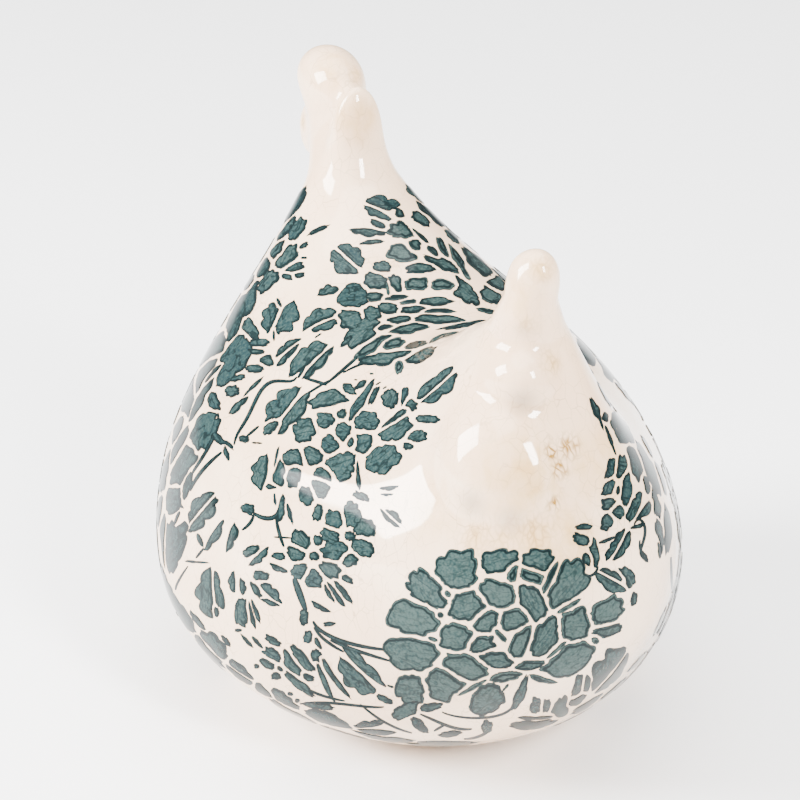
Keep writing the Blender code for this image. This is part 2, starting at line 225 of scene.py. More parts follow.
@dataclass(frozen=True)
class Bar:
    """A tapering bar with round ends, given by (Y, height) and radius at each end."""

    start: tuple[float, float]
    end: tuple[float, float]
    start_radius: float
    end_radius: float
    blend: float

    def distance(self, points: np.ndarray) -> np.ndarray:
        """Distance of points to the bar: to its flank cone, or to the nearer end's ball."""
        start = np.array((0.0, *self.start))
        axis = np.array((0.0, *self.end)) - start
        squared = axis @ axis
        taper = self.start_radius - self.end_radius
        flank = squared - taper * taper
        offset = points - start
        along = offset @ axis
        past = along - squared
        across = offset * squared - np.outer(along, axis)
        across_squared = (across * across).sum(axis=1)
        along_squared = along * along * squared
        past_squared = past * past * squared
        limit = np.sign(taper) * taper * taper * across_squared
        near = (np.sqrt(across_squared * flank / squared) + along * taper) / squared - self.start_radius
        from_start = np.sqrt(across_squared + along_squared) / squared - self.start_radius
        from_end = np.sqrt(across_squared + past_squared) / squared - self.end_radius
        near = np.where(np.sign(along) * flank * along_squared < limit, from_start, near)
        return np.where(np.sign(past) * flank * past_squared > limit, from_end, near)


def smooth_union(first: np.ndarray, second: np.ndarray, blend: float) -> np.ndarray:
    """Joins two fields with a fillet that reaches `blend` to each side of the joint."""
    near = np.maximum(blend - np.abs(first - second), 0.0) / blend
    return np.minimum(first, second) - near * near * blend * 0.25


@dataclass(frozen=True)
class FeatherBump:
    """A feather bump on the tail, by its drop below the tail's top and its bearing in degrees."""

    drop: float
    bearing: float
    half_width: float
    depth: float
    half_height: float
    proud: float
    lean: float = math.radians(22.0)
    blend: float = 0.0052


@dataclass
class HenForm:
    """The outside and the hollow of the hen as fields, with the sizes of the CAD part.

    Sizes along Y are the casting's own. `shift` moves the casting to the middle of its box.
    """

    belly: Mass = Mass(0.0, 0.0401, 0.0758, 0.0738, 0.0324, 0.0)
    chest: Mass = Mass(0.0114, 0.0676, 0.0734, 0.0878, 0.0658, 0.0410)
    neck: Bar = Bar((-0.0396, 0.0633), (-0.0547, 0.1552), 0.0454, 0.0132, 0.0594)
    tail: Bar = Bar((0.0843, 0.0864), (0.0822, 0.1745), 0.0362, 0.0041, 0.0432)
    root: Mass = Mass(0.0615, 0.0974, 0.0120, 0.0234, 0.0453, 0.0266)
    head_masses: tuple = (
        Mass(-0.0660, 0.1678, 0.0095, 0.0121, 0.0143, 0.0100),
        Mass(-0.0720, 0.1849, 0.0108, 0.0157, 0.0110, 0.0100),
        Mass(-0.0494, 0.1725, 0.0088, 0.0052, 0.0170, 0.0090),
        Mass(-0.0819, 0.1678, 0.0042, 0.0121, 0.0050, 0.0040),
        Mass(-0.0779, 0.1654, 0.0041, 0.0082, 0.0094, 0.0040, side=-0.0041),
        Mass(-0.0779, 0.1654, 0.0041, 0.0082, 0.0094, 0.0040, side=0.0041),
    )
    knob: Mass = Mass(0.0884, 0.1758, 0.0058, 0.0062, 0.0074, 0.0120)
    bump_plan: tuple = (
        FeatherBump(0.0045, 30.0, 0.0058, 0.0056, 0.0088, 0.0004),
        FeatherBump(0.0138, 34.0, 0.0088, 0.0085, 0.0068, 0.0015),
        FeatherBump(0.0290, 37.0, 0.0096, 0.0085, 0.0080, 0.0030),
        FeatherBump(0.0545, 46.0, 0.0165, 0.0105, 0.0185, 0.0032),
        FeatherBump(0.0530, 64.0, 0.0150, 0.0105, 0.0180, 0.0032),
    )
    shift: float = -0.011928
    inset: float = 0.00052
    wall: float = 0.005
    floor_thickness: float = 0.007
    cavity_top: float = 0.150
    foot_along: float = -0.0060
    recess_radius: float = 0.0315
    recess_depth: float = 0.002
    vent_radius: float = 0.011
    pivot_height: float = 0.1820
    sight_span: tuple[float, float] = (0.95, 1.45)
    sight_steps: int = 240
    sight_halvings: int = 14
    settle_steps: int = 5
    least_steepness: float = 0.05
    bumps: list = field(default_factory=list)

    def __post_init__(self) -> None:
        """Seats each feather bump on the tail, by a ray from the tail's own middle."""
        foot = np.array((0.0, *self.tail.start))
        top = np.array((0.0, *self.tail.end))
        for bump in self.bump_plan:
            bearing = math.radians(bump.bearing)
            heading = np.array((math.sin(bearing), math.cos(bearing), 0.0))
            middle = top + (foot - top) * bump.drop / (top[2] - foot[2])
            seat = self.march(middle[None], heading[None], self.knobbed)[0]
            side, along, height = seat + heading * (bump.proud - bump.depth)
            sizes = (bump.half_width, bump.depth, bump.half_height, bump.blend)
            self.bumps.append(Mass(along, height, *sizes, side=side, bearing=bearing, lean=bump.lean))

    def plain(self, points: np.ndarray) -> np.ndarray:
        """Belly, chest, neck and tail as one smooth blend, in the casting's own frame."""
        near = self.belly.distance(points)
        for mass in (self.chest, self.neck, self.tail, self.root):
            near = smooth_union(near, mass.distance(points), mass.blend)
        return near

    def knobbed(self, points: np.ndarray) -> np.ndarray:
        """The plain body with the knob at the tail's tip, on which the feather bumps stand."""
        return smooth_union(self.plain(points), self.knob.distance(points), self.knob.blend)

    def casting(self, points: np.ndarray) -> np.ndarray:
        """The whole outside in the casting's own frame, before the foot is cut."""
        near = self.plain(points)
        for mass in (*self.head_masses, self.knob, *self.bumps):
            near = smooth_union(near, mass.distance(points), mass.blend)
        return near

    def outside(self, points: np.ndarray) -> np.ndarray:
        """The glazed outside in the model's frame, a hair inside the CAD solid's."""
        return self.casting(points - np.array((0.0, self.shift, 0.0))) + self.inset

    def standing(self, points: np.ndarray) -> np.ndarray:
        """The glazed outside with its foot cut flat on the ground."""
        return np.maximum(self.outside(points), -points[:, 2])

    def hollow(self, points: np.ndarray) -> np.ndarray:
        """The inside of the shell: the body drawn in by the wall, with a flat floor and top."""
        near = self.plain(points - np.array((0.0, self.shift, 0.0))) + self.wall
        near = np.maximum(near, self.floor_thickness - points[:, 2])
        return np.maximum(near, points[:, 2] - self.cavity_top)

    @staticmethod
    def march(starts: np.ndarray, headings: np.ndarray, near: Field, reach: float = 0.176) -> np.ndarray:
        """Points where rays first leave a field: coarse steps, then halving.

        Args:
            starts: Start of each ray, inside the field.
            headings: Unit direction of each ray.
            near: The field.
            reach: The longest way that a ray goes.

        Returns:
            The points on the skin.
        """
        coarse = 44
        halvings = 15
        step = reach / coarse
        low = np.zeros(len(starts))
        high = np.full(len(starts), reach)
        inside = np.ones(len(starts), bool)
        for index in range(1, coarse + 1):
            active = np.flatnonzero(inside)
            if len(active) == 0:
                break
            left = active[near(starts[active] + headings[active] * (index * step)) > 0.0]
            low[left] = (index - 1) * step
            high[left] = index * step
            inside[left] = False
        for _ in range(halvings):
            middle = 0.5 * (low + high)
            gone = near(starts + headings * middle[:, None]) > 0.0
            high = np.where(gone, middle, high)
            low = np.where(gone, low, middle)
        return starts + headings * high[:, None]

    def slope(self, points: np.ndarray) -> np.ndarray:
        """Slope of the outside's field, from central differences."""
        reach = 0.0002
        steps = np.eye(3) * reach
        rises = [self.outside(points + step) - self.outside(points - step) for step in steps]
        return np.stack(rises, axis=1) / (2.0 * reach)

    def normals(self, points: np.ndarray) -> np.ndarray:
        """Outward unit normals of the outside."""
        slope = self.slope(points)
        return slope / np.linalg.norm(slope, axis=1, keepdims=True)

    def settle(self, points: np.ndarray) -> np.ndarray:
        """Moves points onto the outside: down the slope by the field's value over its steepness."""
        for _ in range(self.settle_steps):
            slope = self.slope(points)
            steepness = np.maximum((slope * slope).sum(axis=1), self.least_steepness)
            points = points - slope * (self.outside(points) / steepness)[:, None]
        return points

    def cast(self, eye: np.ndarray, headings: np.ndarray) -> np.ndarray:
        """Points where sight lines first meet the outside, or not-a-number where they miss.

        Args:
            eye: Where the sight lines start.
            headings: Unit direction of each.

        Returns:
            The points seen.
        """
        steps = np.linspace(*self.sight_span, self.sight_steps)
        near = np.stack([self.outside(eye + headings * reach) for reach in steps])
        hit = near < 0.0
        entry = np.maximum(np.argmax(hit, axis=0), 1)
        low = steps[entry - 1]
        high = steps[entry]
        for _ in range(self.sight_halvings):
            middle = 0.5 * (low + high)
            within = self.outside(eye + headings * middle[:, None]) < 0.0
            high = np.where(within, middle, high)
            low = np.where(within, low, middle)
        points = eye + headings * high[:, None]
        points[~hit.any(axis=0)] = np.nan
        return points


@dataclass(frozen=True)
class SkinGrid:
    """Rays that sweep a skin: sections swing about a pivot line, with a fan as each end's cap.

    The rays crowd towards the saddle, where the skin falls away from them.
    """

    sections: int
    caps: int
    around: int
    crowding: float = 0.45
    path_points: int = 400

    def sweep(self, form: HenForm, knots: tuple, near: Field) -> np.ndarray:
        """Casts the rays from a spine through the knots.

        Args:
            form: The hen, for its pivot and shift.
            knots: (Y, height) points of the spine in the casting's frame, from tail to head.
            near: The field whose skin is wanted.

        Returns:
            The grid of points, rows along the spine and columns around it.
        """
        pivot = np.array((form.chest.along, form.pivot_height))
        order = np.arange(len(knots))
        share = np.linspace(0.0, order[-1], self.path_points)
        along, height = np.array(knots).T
        path = np.stack((np.interp(share, order, along), np.interp(share, order, height)), axis=1)
        path = path - pivot
        path_angles = np.arctan2(path[:, 0], -path[:, 1])
        angles = np.linspace(path_angles[0], path_angles[-1], self.sections)
        distances = np.interp(-angles, -path_angles, np.hypot(path[:, 0], path[:, 1]))
        outward = np.stack((np.zeros_like(angles), np.sin(angles), -np.cos(angles)), axis=1)
        onward = np.stack((np.zeros_like(angles), -np.cos(angles), -np.sin(angles)), axis=1)
        origins = np.array((0.0, pivot[0] + form.shift, pivot[1])) + outward * distances[:, None]
        fan = np.linspace(0.5 * math.pi, 0.0, self.caps, endpoint=False)
        tilt = np.concatenate((-fan, np.zeros(self.sections), fan[::-1]))
        last = self.sections - 1
        row = np.concatenate((np.zeros(self.caps, int), np.arange(self.sections), np.full(self.caps, last)))
        turn = np.linspace(0.0, 2.0 * math.pi, self.around, endpoint=False)
        turn = turn + self.crowding * np.sin(turn)
        sideways = np.array((1.0, 0.0, 0.0))
        flat = np.cos(turn)[None, :, None] * outward[row][:, None, :]
        flat = flat + np.sin(turn)[None, :, None] * sideways
        lift = np.sin(tilt)[:, None, None] * onward[row][:, None, :]
        headings = np.cos(tilt)[:, None, None] * flat + lift
        starts = np.broadcast_to(origins[row][:, None, :], headings.shape)
        points = form.march(starts.reshape(-1, 3), headings.reshape(-1, 3), near)
        return points.reshape(headings.shape)

    def build(self, name: str, grid: np.ndarray) -> bpy.types.Object:
        """Closes a swept grid into an object: its first and last rows are single points."""
        around = self.around
        vertices = np.concatenate((grid[0, :1], grid[1:-1].reshape(-1, 3), grid[-1, :1]))
        column, following = ring_numbers(around)
        base = 1 + np.arange(len(grid) - 3)[:, None] * around
        above = base + around
        quads = np.stack((base + column, base + following, above + following, above + column), axis=2)
        first_ring = np.stack((np.zeros_like(column), 1 + following, 1 + column), axis=1)
        top = 1 + (len(grid) - 3) * around
        last_ring = np.stack((np.full_like(column, len(vertices) - 1), top + column, top + following), axis=1)
        faces = quads.reshape(-1, 4).tolist() + first_ring.tolist() + last_ring.tolist()
        return mesh_object(name, vertices, faces)


@dataclass
class GlazedBody:
    """The hen's casting: the fine skin, less its hollow, the recess of its foot and the vent."""

    form: HenForm
    skin: SkinGrid = SkinGrid(sections=224, caps=34, around=312)
    inside: SkinGrid = SkinGrid(sections=60, caps=12, around=96)
    round_steps: int = 96
    sharp_angle: float = math.radians(40.0)

    def spine(self) -> tuple:
        """Knots of the outside's spine, from the tail's knob to the head."""
        form = self.form
        head = form.head_masses[0]
        return (
            (form.knob.along, form.knob.height),
            form.tail.start,
            (form.chest.along, form.belly.height + 0.3 * form.belly.half_height),
            form.neck.start,
            form.neck.end,
            (head.along, head.height + 0.4 * head.half_height),
        )

    def hollow_spine(self) -> tuple:
        """Knots of the hollow's spine."""
        form = self.form
        return (
            (0.6 * form.tail.start[0], form.tail.start[1]),
            (form.chest.along, form.belly.height + 0.3 * form.belly.half_height),
            form.neck.start,
            (form.neck.end[0], form.cavity_top - 2.0 * form.wall),
        )

    def drum(self, name: str, radius: float, bottom: float, top: float) -> bpy.types.Object:
        """An upright round cutter at the middle of the foot."""
        turn = np.linspace(0.0, 2.0 * math.pi, self.round_steps, endpoint=False)
        middle = self.form.foot_along + self.form.shift
        ring = np.stack((radius * np.cos(turn), middle + radius * np.sin(turn)), axis=1)
        low = np.column_stack((ring, np.full(self.round_steps, bottom)))
        high = np.column_stack((ring, np.full(self.round_steps, top)))
        column, following = ring_numbers(self.round_steps)
        above = self.round_steps
        sides = np.stack((column, following, following + above, column + above), axis=1).tolist()
        caps = [column[::-1].tolist(), (column + above).tolist()]
        return mesh_object(name, np.concatenate((low, high)), sides + caps)

    def build(self) -> bpy.types.Object:
        """Builds the casting as one mesh: the hen's glazed body."""
        form = self.form
        body = self.skin.build("glazed_body", self.skin.sweep(form, self.spine(), form.standing))
        cutters = [
            self.inside.build("hollow", self.inside.sweep(form, self.hollow_spine(), form.hollow)),
            self.drum("recess", form.recess_radius, -form.recess_depth, form.recess_depth),
            self.drum("vent", form.vent_radius, -form.floor_thickness, 2.0 * form.floor_thickness),
        ]
        for cutter in cutters:
            cut = body.modifiers.new(cutter.name, "BOOLEAN")
            cut.operation = "DIFFERENCE"
            cut.solver = "EXACT"
            cut.object = cutter
        graph = bpy.context.evaluated_depsgraph_get()
        finished = bpy.data.meshes.new_from_object(body.evaluated_get(graph))
        body.modifiers.clear()
        body.data = finished
        for cutter in cutters:
            bpy.data.objects.remove(cutter, do_unlink=True)
        finished.set_sharp_from_angle(angle=self.sharp_angle)
        return body


@dataclass(frozen=True)
class PhotoCamera:
    """The photograph's viewpoint, which also says where a place in the picture lies on the hen."""

    azimuth: float = 156.79
    elevation: float = 24.37
    distance: float = 1.2
    aim: tuple[float, float, float] = (0.0, -0.0264, 0.0930)
    focal_pixels: float = 3693.6
    picture_side: float = 800.0
    sensor: float = 36.0
    farthest: float = 20.0

    def basis(self) -> tuple[np.ndarray, np.ndarray, np.ndarray, np.ndarray]:
        """The eye's place, and the directions back from the picture, right and up."""
        return viewpoint(self.azimuth, self.elevation, self.aim, self.distance)

    def sight(self, across: np.ndarray, down: np.ndarray) -> np.ndarray:
        """Unit directions from the eye through places in the picture, in pixels."""
        _, back, right, up = self.basis()
        middle = 0.5 * self.picture_side
        lines = (
            -back
            + np.outer((across - middle) / self.focal_pixels, right)
            + np.outer((middle - down) / self.focal_pixels, up)
        )
        return lines / np.linalg.norm(lines, axis=1, keepdims=True)

    def build(self) -> None:
        """Makes the scene's camera."""
        data = bpy.data.cameras.new("photo_camera")
        data.sensor_width = self.sensor
        data.lens = self.focal_pixels / self.picture_side * self.sensor
        data.clip_end = self.farthest
        bpy.context.scene.camera = put(data, *self.basis())


class Shape(Enum):
    """Outlines that the printed shapes have."""

    PETAL = "petal"
    LEAF = "leaf"
    HALF = "half"


@dataclass(frozen=True)
class Motif:
    """One printed shape. Its place and size are in the photograph's pixels, its turn in degrees.

    A positive turn swings the shape's right end down. A half leaf bulges to the side of `wide`'s
    sign from its straight edge.
    """

    across: float
    down: float
    long: float
    wide: float
    turn: float
    shape: Shape


def petal(across: float, down: float, long: float, wide: float, turn: float = 0.0) -> Motif:
    """A rounded petal with a wavy edge."""
    return Motif(across, down, long, wide, turn, Shape.PETAL)


def leaf(across: float, down: float, long: float, wide: float, turn: float = 0.0) -> Motif:
    """A narrow leaf, pointed at both ends."""
    return Motif(across, down, long, wide, turn, Shape.LEAF)


def half(across: float, down: float, long: float, wide: float, turn: float = 0.0) -> Motif:
    """Half of a leaf, with one straight edge."""
    return Motif(across, down, long, wide, turn, Shape.HALF)


@dataclass(frozen=True)
class Stem:
    """A thin printed line through (across, down) pixels, `wide` pixels in half width."""

    wide: float
    points: tuple


# The big peony low on the rump: its petals ring by ring
RUMP_PEONY = (
    petal(457, 571, 19, 18, 0),
    petal(428, 592, 23, 13, 38),
    petal(447, 594, 5, 4, 50),
    petal(415, 619, 23, 16, 12),
    petal(440, 615, 4, 4),
    petal(468, 606, 19, 14, -12),
    petal(499, 561, 17, 10, -12),
    petal(513, 573, 5, 9, 20),
    petal(497, 595, 19, 13, 18),
    petal(487, 621, 13, 10, -35),
    petal(515, 619, 15, 11, -12),
    petal(455, 638, 16, 13, 12),
    petal(481, 645, 13, 8, -15),
    leaf(500, 635, 8, 3.5, 48),
    petal(412, 655, 23, 15, 12),
    petal(433, 639, 6, 2.5, 20),
    petal(498, 660, 19, 8, 6),
    petal(519, 645, 20, 8, -62),
    petal(466, 668, 22, 12, 16),
    petal(446, 686, 21, 14, 24),
    petal(411, 689, 13, 13),
    petal(504, 677, 14, 5, -10),
    petal(530, 665, 16, 4.5, -8),
    petal(487, 700, 15, 13, -30),
    petal(533, 604, 19, 12, 58),
    petal(539, 562, 15, 11, 5),
    petal(533, 576, 14, 7, 20),
    petal(550, 578, 17, 4.5, -68),
    petal(567, 586, 24, 15, -52),
    leaf(569, 606, 13, 4, -32),
    petal(575, 627, 15, 16, 0),
    petal(546, 638, 21, 12, -68),
    petal(568, 661, 25, 14, -38),
    leaf(557, 650, 14, 3.5, -40),
    leaf(545, 680, 13, 4, 12),
    petal(608, 612, 17, 10, -32),
    petal(607, 631, 15, 5, -14),
    petal(595, 640, 4, 4.5),
    leaf(468, 690, 20, 3.5, -28),
    leaf(505, 688, 5, 1.8, -50),
)

# Leaves, buds and stems along the foot, from the left edge round to the right
LOW_MOTIFS = (
    petal(407, 710, 15, 8, -24),
    petal(429, 707, 13, 4.5, -6),
    leaf(419, 725, 12, 5, 42),
    petal(384, 699, 9, 3.5, 25),
    petal(487, 727, 6, 6, 20),
    leaf(450, 734, 12, 3, -6),
    half(368, 726, 15, -4, -6),
    half(376, 731, 19, 5, 4),
    leaf(384, 738, 40, 3, 10),
    leaf(440, 744, 36, 3, 0),
    petal(536, 706, 6, 8, 12),
    petal(546, 706, 4.5, 7, 12),
    leaf(534, 725, 24, 4.5, -7),
    leaf(536, 718, 18, 2.2, -2),
    leaf(520, 695, 18, 5, -66),
    petal(562, 708, 11, 8, -55),
    leaf(575, 701, 14, 5, -30),
    petal(578, 688, 13, 5, -68),
    petal(587, 685, 5, 9, 14),
    half(610, 672, 27, -9, -50),
    half(612, 674, 25, 7, -50),
    leaf(637, 662, 14, 3, -42),
    leaf(590, 703, 22, 3.5, -34),
    leaf(612, 690, 20, 3, -36),
    half(362, 668, 29, -6.5, 43),
    half(358, 676, 25, 11, 43),
    leaf(390, 686, 4, 1.6, 20),
    leaf(333, 676, 30, 3.0, 55),
    leaf(324, 681, 26, 3.0, 66),
    petal(275, 655, 13, 6, 28),
    petal(290, 664, 17, 6.5, 50),
    petal(303, 660, 17, 6, 48),
    petal(267, 664, 8, 4.5, 30),
    petal(281, 669, 5, 3, 40),
    petal(276, 676, 5, 4),
    leaf(297, 682, 22, 5, 42),
    petal(308, 677, 7, 4, 20),
    petal(308, 637, 5, 6, 15),
    petal(316, 656, 6, 8, 15),
    leaf(318, 644, 8, 3, 60),
    petal(257, 666, 3, 2.5),
    petal(273, 641, 9, 4, 30),
    leaf(258, 643, 9, 2.2, 48),
    leaf(247, 641, 9, 1.8, 48),
    leaf(213, 645, 20, 7.5, 48),
    leaf(198, 622, 13, 3, 52),
    leaf(226, 641, 7, 2.5, 52),
    leaf(182, 615, 26, 4.5, 60),
    leaf(207, 650, 24, 4, 48),
    leaf(240, 670, 16, 4.5, 40),
    leaf(242, 677, 20, 3.5, 34),
    leaf(262, 690, 14, 4, 34),
    leaf(284, 700, 17, 6, 32),
    leaf(292, 712, 26, 3.5, 28),
    leaf(327, 720, 24, 6, 20),
    leaf(345, 733, 24, 3.5, 16),
    petal(290, 694, 3, 2),
    petal(297, 701, 3, 2.5),
    leaf(318, 706, 16, 3.6, 8),
)

LOW_STEMS = (
    Stem(1.0, ((442, 712), (472, 718), (500, 715), (515, 704), (526, 683))),
    Stem(1.2, ((420, 714), (438, 722), (455, 728), (472, 729))),
    Stem(1.0, ((434, 731), (446, 724))),
    Stem(1.1, ((488, 722), (490, 729), (480, 736), (464, 739))),
    Stem(1.0, ((360, 704), (375, 716), (392, 726), (412, 733))),
    Stem(1.1, ((300, 704), (330, 703), (360, 706), (384, 707))),
    Stem(1.1, ((298, 683), (318, 694), (345, 701))),
    Stem(2.6, ((294, 578), (299, 592), (306, 611))),
    Stem(1.6, ((313, 621), (326, 634), (352, 644), (388, 650))),
    Stem(1.4, ((330, 640), (355, 650), (390, 661))),
    Stem(1.3, ((314, 627), (325, 640), (344, 652))),
    Stem(0.9, ((640, 540), (641, 552), (648, 562))),
    Stem(0.9, ((671, 557), (672, 590))),
    Stem(1.1, ((586, 576), (594, 574), (598, 566))),
)

# Flowers and leaves of the left flank, from the foot up
FLANK_MOTIFS = (
    petal(301, 540, 11, 9, 38),
    petal(318, 541, 6.5, 5, 50),
    petal(365, 528, 11, 9, 10),
    petal(362, 548, 12, 9, 10),
    petal(335, 551, 16, 10, 0),
    petal(296, 554, 10, 8, 40),
    petal(315, 556, 6, 5, 0),
    petal(300, 571, 9, 9, 20),
    petal(314, 578, 11, 10, 0),
    petal(329, 570, 12, 9, 15),
    petal(350, 559, 9, 8, 0),
    petal(347, 579, 7, 3.5, 30),
    leaf(335, 594, 15, 3.8, 52),
    leaf(343, 592, 15, 3.4, 52),
    leaf(329, 592, 11, 3.4, 60),
    half(321, 606, 11, 3.5, 30),
    petal(329, 624, 6, 2.5, -5),
    petal(304, 617, 5, 8, 0),
    petal(279, 556, 7, 4, 5),
    half(279, 567, 10, 4, 24),
    petal(261, 577, 8, 6.5, 20),
    half(256, 594, 14, -4.5, 62),
    half(268, 592, 18, -6, 46),
    leaf(266, 601, 14, 3.5, 18),
    half(234, 582, 11, 4.5, 88),
    half(241, 587, 9, -4, 84),
    petal(241, 613, 15, 6.5, 88),
    leaf(252, 614, 14, 3.4, 80),
    leaf(255, 611, 13, 3.0, 68),
    petal(239, 630, 4, 2.5),
    half(212, 594, 26, 13, 86),
    half(215, 596, 26, -6.5, 82),
    petal(217, 611, 8, 5, 70),
    petal(251, 551, 9, 5, -18),
    half(258, 556, 13, 5, -44),
    leaf(200, 540, 8, 2.4, 66),
    half(213, 535, 18, 5, -58),
    half(230, 537, 15, 5.5, -74),
    half(201, 508, 20, -8, -52),
    half(201, 514, 22, 8, -52),
    petal(248, 509, 7, 5.5, 20),
    leaf(275, 498, 7, 2.2, 85),
    half(280, 508, 14, 5, -82),
    leaf(289, 512, 12, 2.6, 72),
    half(264, 472, 18, -10, -82),
    half(275, 475, 20, 7.5, -86),
    petal(273, 487, 8, 3.5, 10),
    leaf(276, 460, 13, 2.2, -78),
    leaf(257, 443, 5, 1.3, 4),
    petal(244, 439, 5, 4, 20),
    half(283, 408, 27, -11, -52),
    half(291, 412, 27, 8, -52),
    petal(271, 426, 10, 7, -35),
    half(238, 402, 15, 5, -50),
    leaf(249, 391, 19, 2.4, -46),
    petal(232, 391, 8, 5.5, -12),
    petal(238, 378, 7, 3.4, -16),
    leaf(222, 441, 14, 4.5, 38),
    leaf(226, 450, 11, 3, 78),
    leaf(196, 562, 12, 1.6, 4),
)

# The large blossom in the middle of the flank
FLANK_BLOSSOM = (
    petal(333, 397, 22, 8, -16),
    petal(350, 390, 13, 7, -10),
    leaf(361, 400, 22, 5.5, -58),
    leaf(374, 394, 11, 4, -64),
    petal(391, 398, 9, 9, -60),
    leaf(404, 396, 9, 4.5, -76),
    petal(358, 387, 9, 5, -30),
    petal(367, 421, 12, 9, 0),
    petal(325, 420, 8.5, 7.5, 0),
    petal(342, 414, 5, 4.5, -20),
    petal(343, 432, 8, 9, 20),
    petal(330, 445, 9, 9.5, 20),
    petal(304, 430, 10, 12, -10),
    petal(295, 458, 11, 9, 0),
    petal(312, 456, 12, 9, 20),
    petal(294, 476, 6, 12, 8),
    leaf(396, 418, 20, 4.5, -38),
    petal(396, 429, 17, 10, -30),
    petal(362, 443, 10, 9.5, -10),
    petal(340, 466, 18, 13, -20),
    petal(383, 459, 16, 13, -40),
    petal(320, 488, 9, 10, 10),
    petal(307, 495, 8, 9, 0),
    petal(352, 442, 5, 6, 10),
    petal(325, 474, 11, 8, 20),
    leaf(358, 474, 16, 2.8, 86),
    petal(361, 496, 8, 4, 25),
    petal(417, 436, 9, 6, -10),
    petal(408, 446, 5, 4),
    petal(427, 419, 11, 4.2, 0),
    petal(318, 513, 5, 8, 10),
    petal(334, 520, 9, 9.5, 10),
    petal(352, 515, 8.5, 12, -8),
    petal(330, 535, 10, 7, 30),
    petal(350, 536, 5, 5),
    half(389, 487, 9, 2.6, -6),
    half(387, 494, 6, 1.6, 0),
    half(390, 518, 12, 3.2, 44),
    half(393, 517, 10, -4, 38),
    petal(411, 405, 6.5, 6, -20),
    half(436, 385, 23, -6.5, -42),
    half(440, 388, 21, 6.5, -40),
    leaf(356, 380, 2.4, 1.4),
    leaf(378, 384, 4, 1.5, -30),
    leaf(385, 388, 3, 1.4, -30),
    leaf(372, 374, 2.2, 1.4),
)

FLANK_STEMS = (
    Stem(1.5, ((297, 377), (280, 381), (264, 387), (253, 406), (243, 425), (234, 445))),
    Stem(1.1, ((246, 437), (259, 426))),
    Stem(1.2, ((298, 378), (305, 366))),
    Stem(1.3, ((304, 378), (318, 382), (327, 385))),
    Stem(1.0, ((304, 396), (318, 387), (330, 380))),
    Stem(1.3, ((326, 384), (345, 368), (366, 349))),
    Stem(1.0, ((343, 373), (365, 363), (392, 358))),
    Stem(1.4, ((218, 413), (214, 436), (202, 458), (192, 474))),
    Stem(1.5, ((190, 491), (202, 471), (222, 452))),
    Stem(1.8, ((254, 513), (264, 518), (274, 517), (279, 508))),
    Stem(1.3, ((254, 514), (250, 523), (242, 530))),
    Stem(1.4, ((276, 517), (279, 532), (284, 547))),
    Stem(0.8, ((274, 537), (291, 538))),
    Stem(0.9, ((188, 566), (178, 582), (176, 590))),
    Stem(1.0, ((204, 548), (196, 558))),
)

# Motifs seen edge-on down the left edge of the flank and neck
LEFT_EDGE = (
    leaf(232, 358, 22, 9, -57),
    leaf(212, 350, 16, 5.5, -52),
    leaf(203, 375, 17, 6, -62),
    leaf(213, 373, 17, 2.6, -46),
    leaf(241, 309, 26, 6, -64),
    leaf(249, 329, 9, 6, 58),
    leaf(263, 268, 10, 3.4, -58),
    leaf(249, 284, 8, 3.4, -60),
    leaf(276, 249, 9, 3.4, -58),
    leaf(285, 231, 12, 2.8, -56),
    leaf(295, 205, 14, 2.6, -60),
    leaf(188, 402, 19, 4.5, -74),
    leaf(202, 396, 20, 3.6, -60),
    petal(213, 401, 7, 4.5, 68),
    petal(203, 431, 15, 8, -66),
    leaf(180, 425, 16, 3.6, -70),
    leaf(177, 448, 17, 4.5, -68),
    petal(181, 466, 17, 8, -66),
    leaf(186, 487, 15, 3.6, -76),
    petal(174, 500, 8, 11, 0),
    leaf(164, 478, 20, 3, -78),
    leaf(160, 505, 14, 3, -84),
    petal(169, 548, 21, 8, -80),
    leaf(163, 545, 26, 2.8, 88),
    leaf(166, 583, 20, 3, 72),
    leaf(177, 518, 8, 2, -70),
)

# The neck's left side
NECK_MOTIFS = (
    petal(297, 229, 12, 6.5, -58),
    petal(287, 257, 15, 7.5, -48),
    petal(268, 281, 14, 7, -48),
    petal(303, 246, 6, 2.6, -30),
    petal(304, 258, 3, 1.4),
    leaf(318, 230, 12, 2.4, -26),
    petal(294, 268, 11, 4.5, -18),
    petal(287, 276, 6, 4, 10),
    petal(299, 275, 6, 3, -5),
    half(345, 261, 17, 10, 41),
    half(350, 257, 16, -9, 41),
    half(388, 208, 24, -8, 20),
    half(378, 212, 15, 5.5, 26),
    petal(399, 211, 9, 6, 25),
    half(368, 230, 19, 5, 4),
    petal(378, 224, 8, 4.5, 30),
    leaf(372, 242, 12, 2.6, -6),
    petal(382, 267, 9, 6, -12),
    petal(353, 296, 15, 12, -12),
    petal(375, 281, 12, 9, 6),
    half(329, 293, 12, -6, -10),
    half(320, 321, 20, -9, -28),
    half(324, 323, 17, 6, -18),
    petal(350, 319, 13, 10, 6),
    petal(372, 314, 9, 8, -10),
    half(275, 318, 17, -11, -74),
    half(281, 317, 20, 12, -52),
    leaf(274, 334, 7, 2.6, 90),
    leaf(279, 303, 6, 3.4, 65),
    petal(259, 343, 10, 4.6, -4),
    petal(259, 352, 11, 4, 8),
    petal(266, 360, 7, 10, 0),
    petal(257, 368, 12, 4.5, -6),
    half(288, 348, 16, -4.5, -36),
    half(287, 354, 16, 4.5, -46),
    half(308, 360, 24, -11, -40),
    half(317, 362, 22, 5.5, -46),
    leaf(318, 336, 4.5, 1.4, -35),
    leaf(347, 341, 9, 3, -40),
)

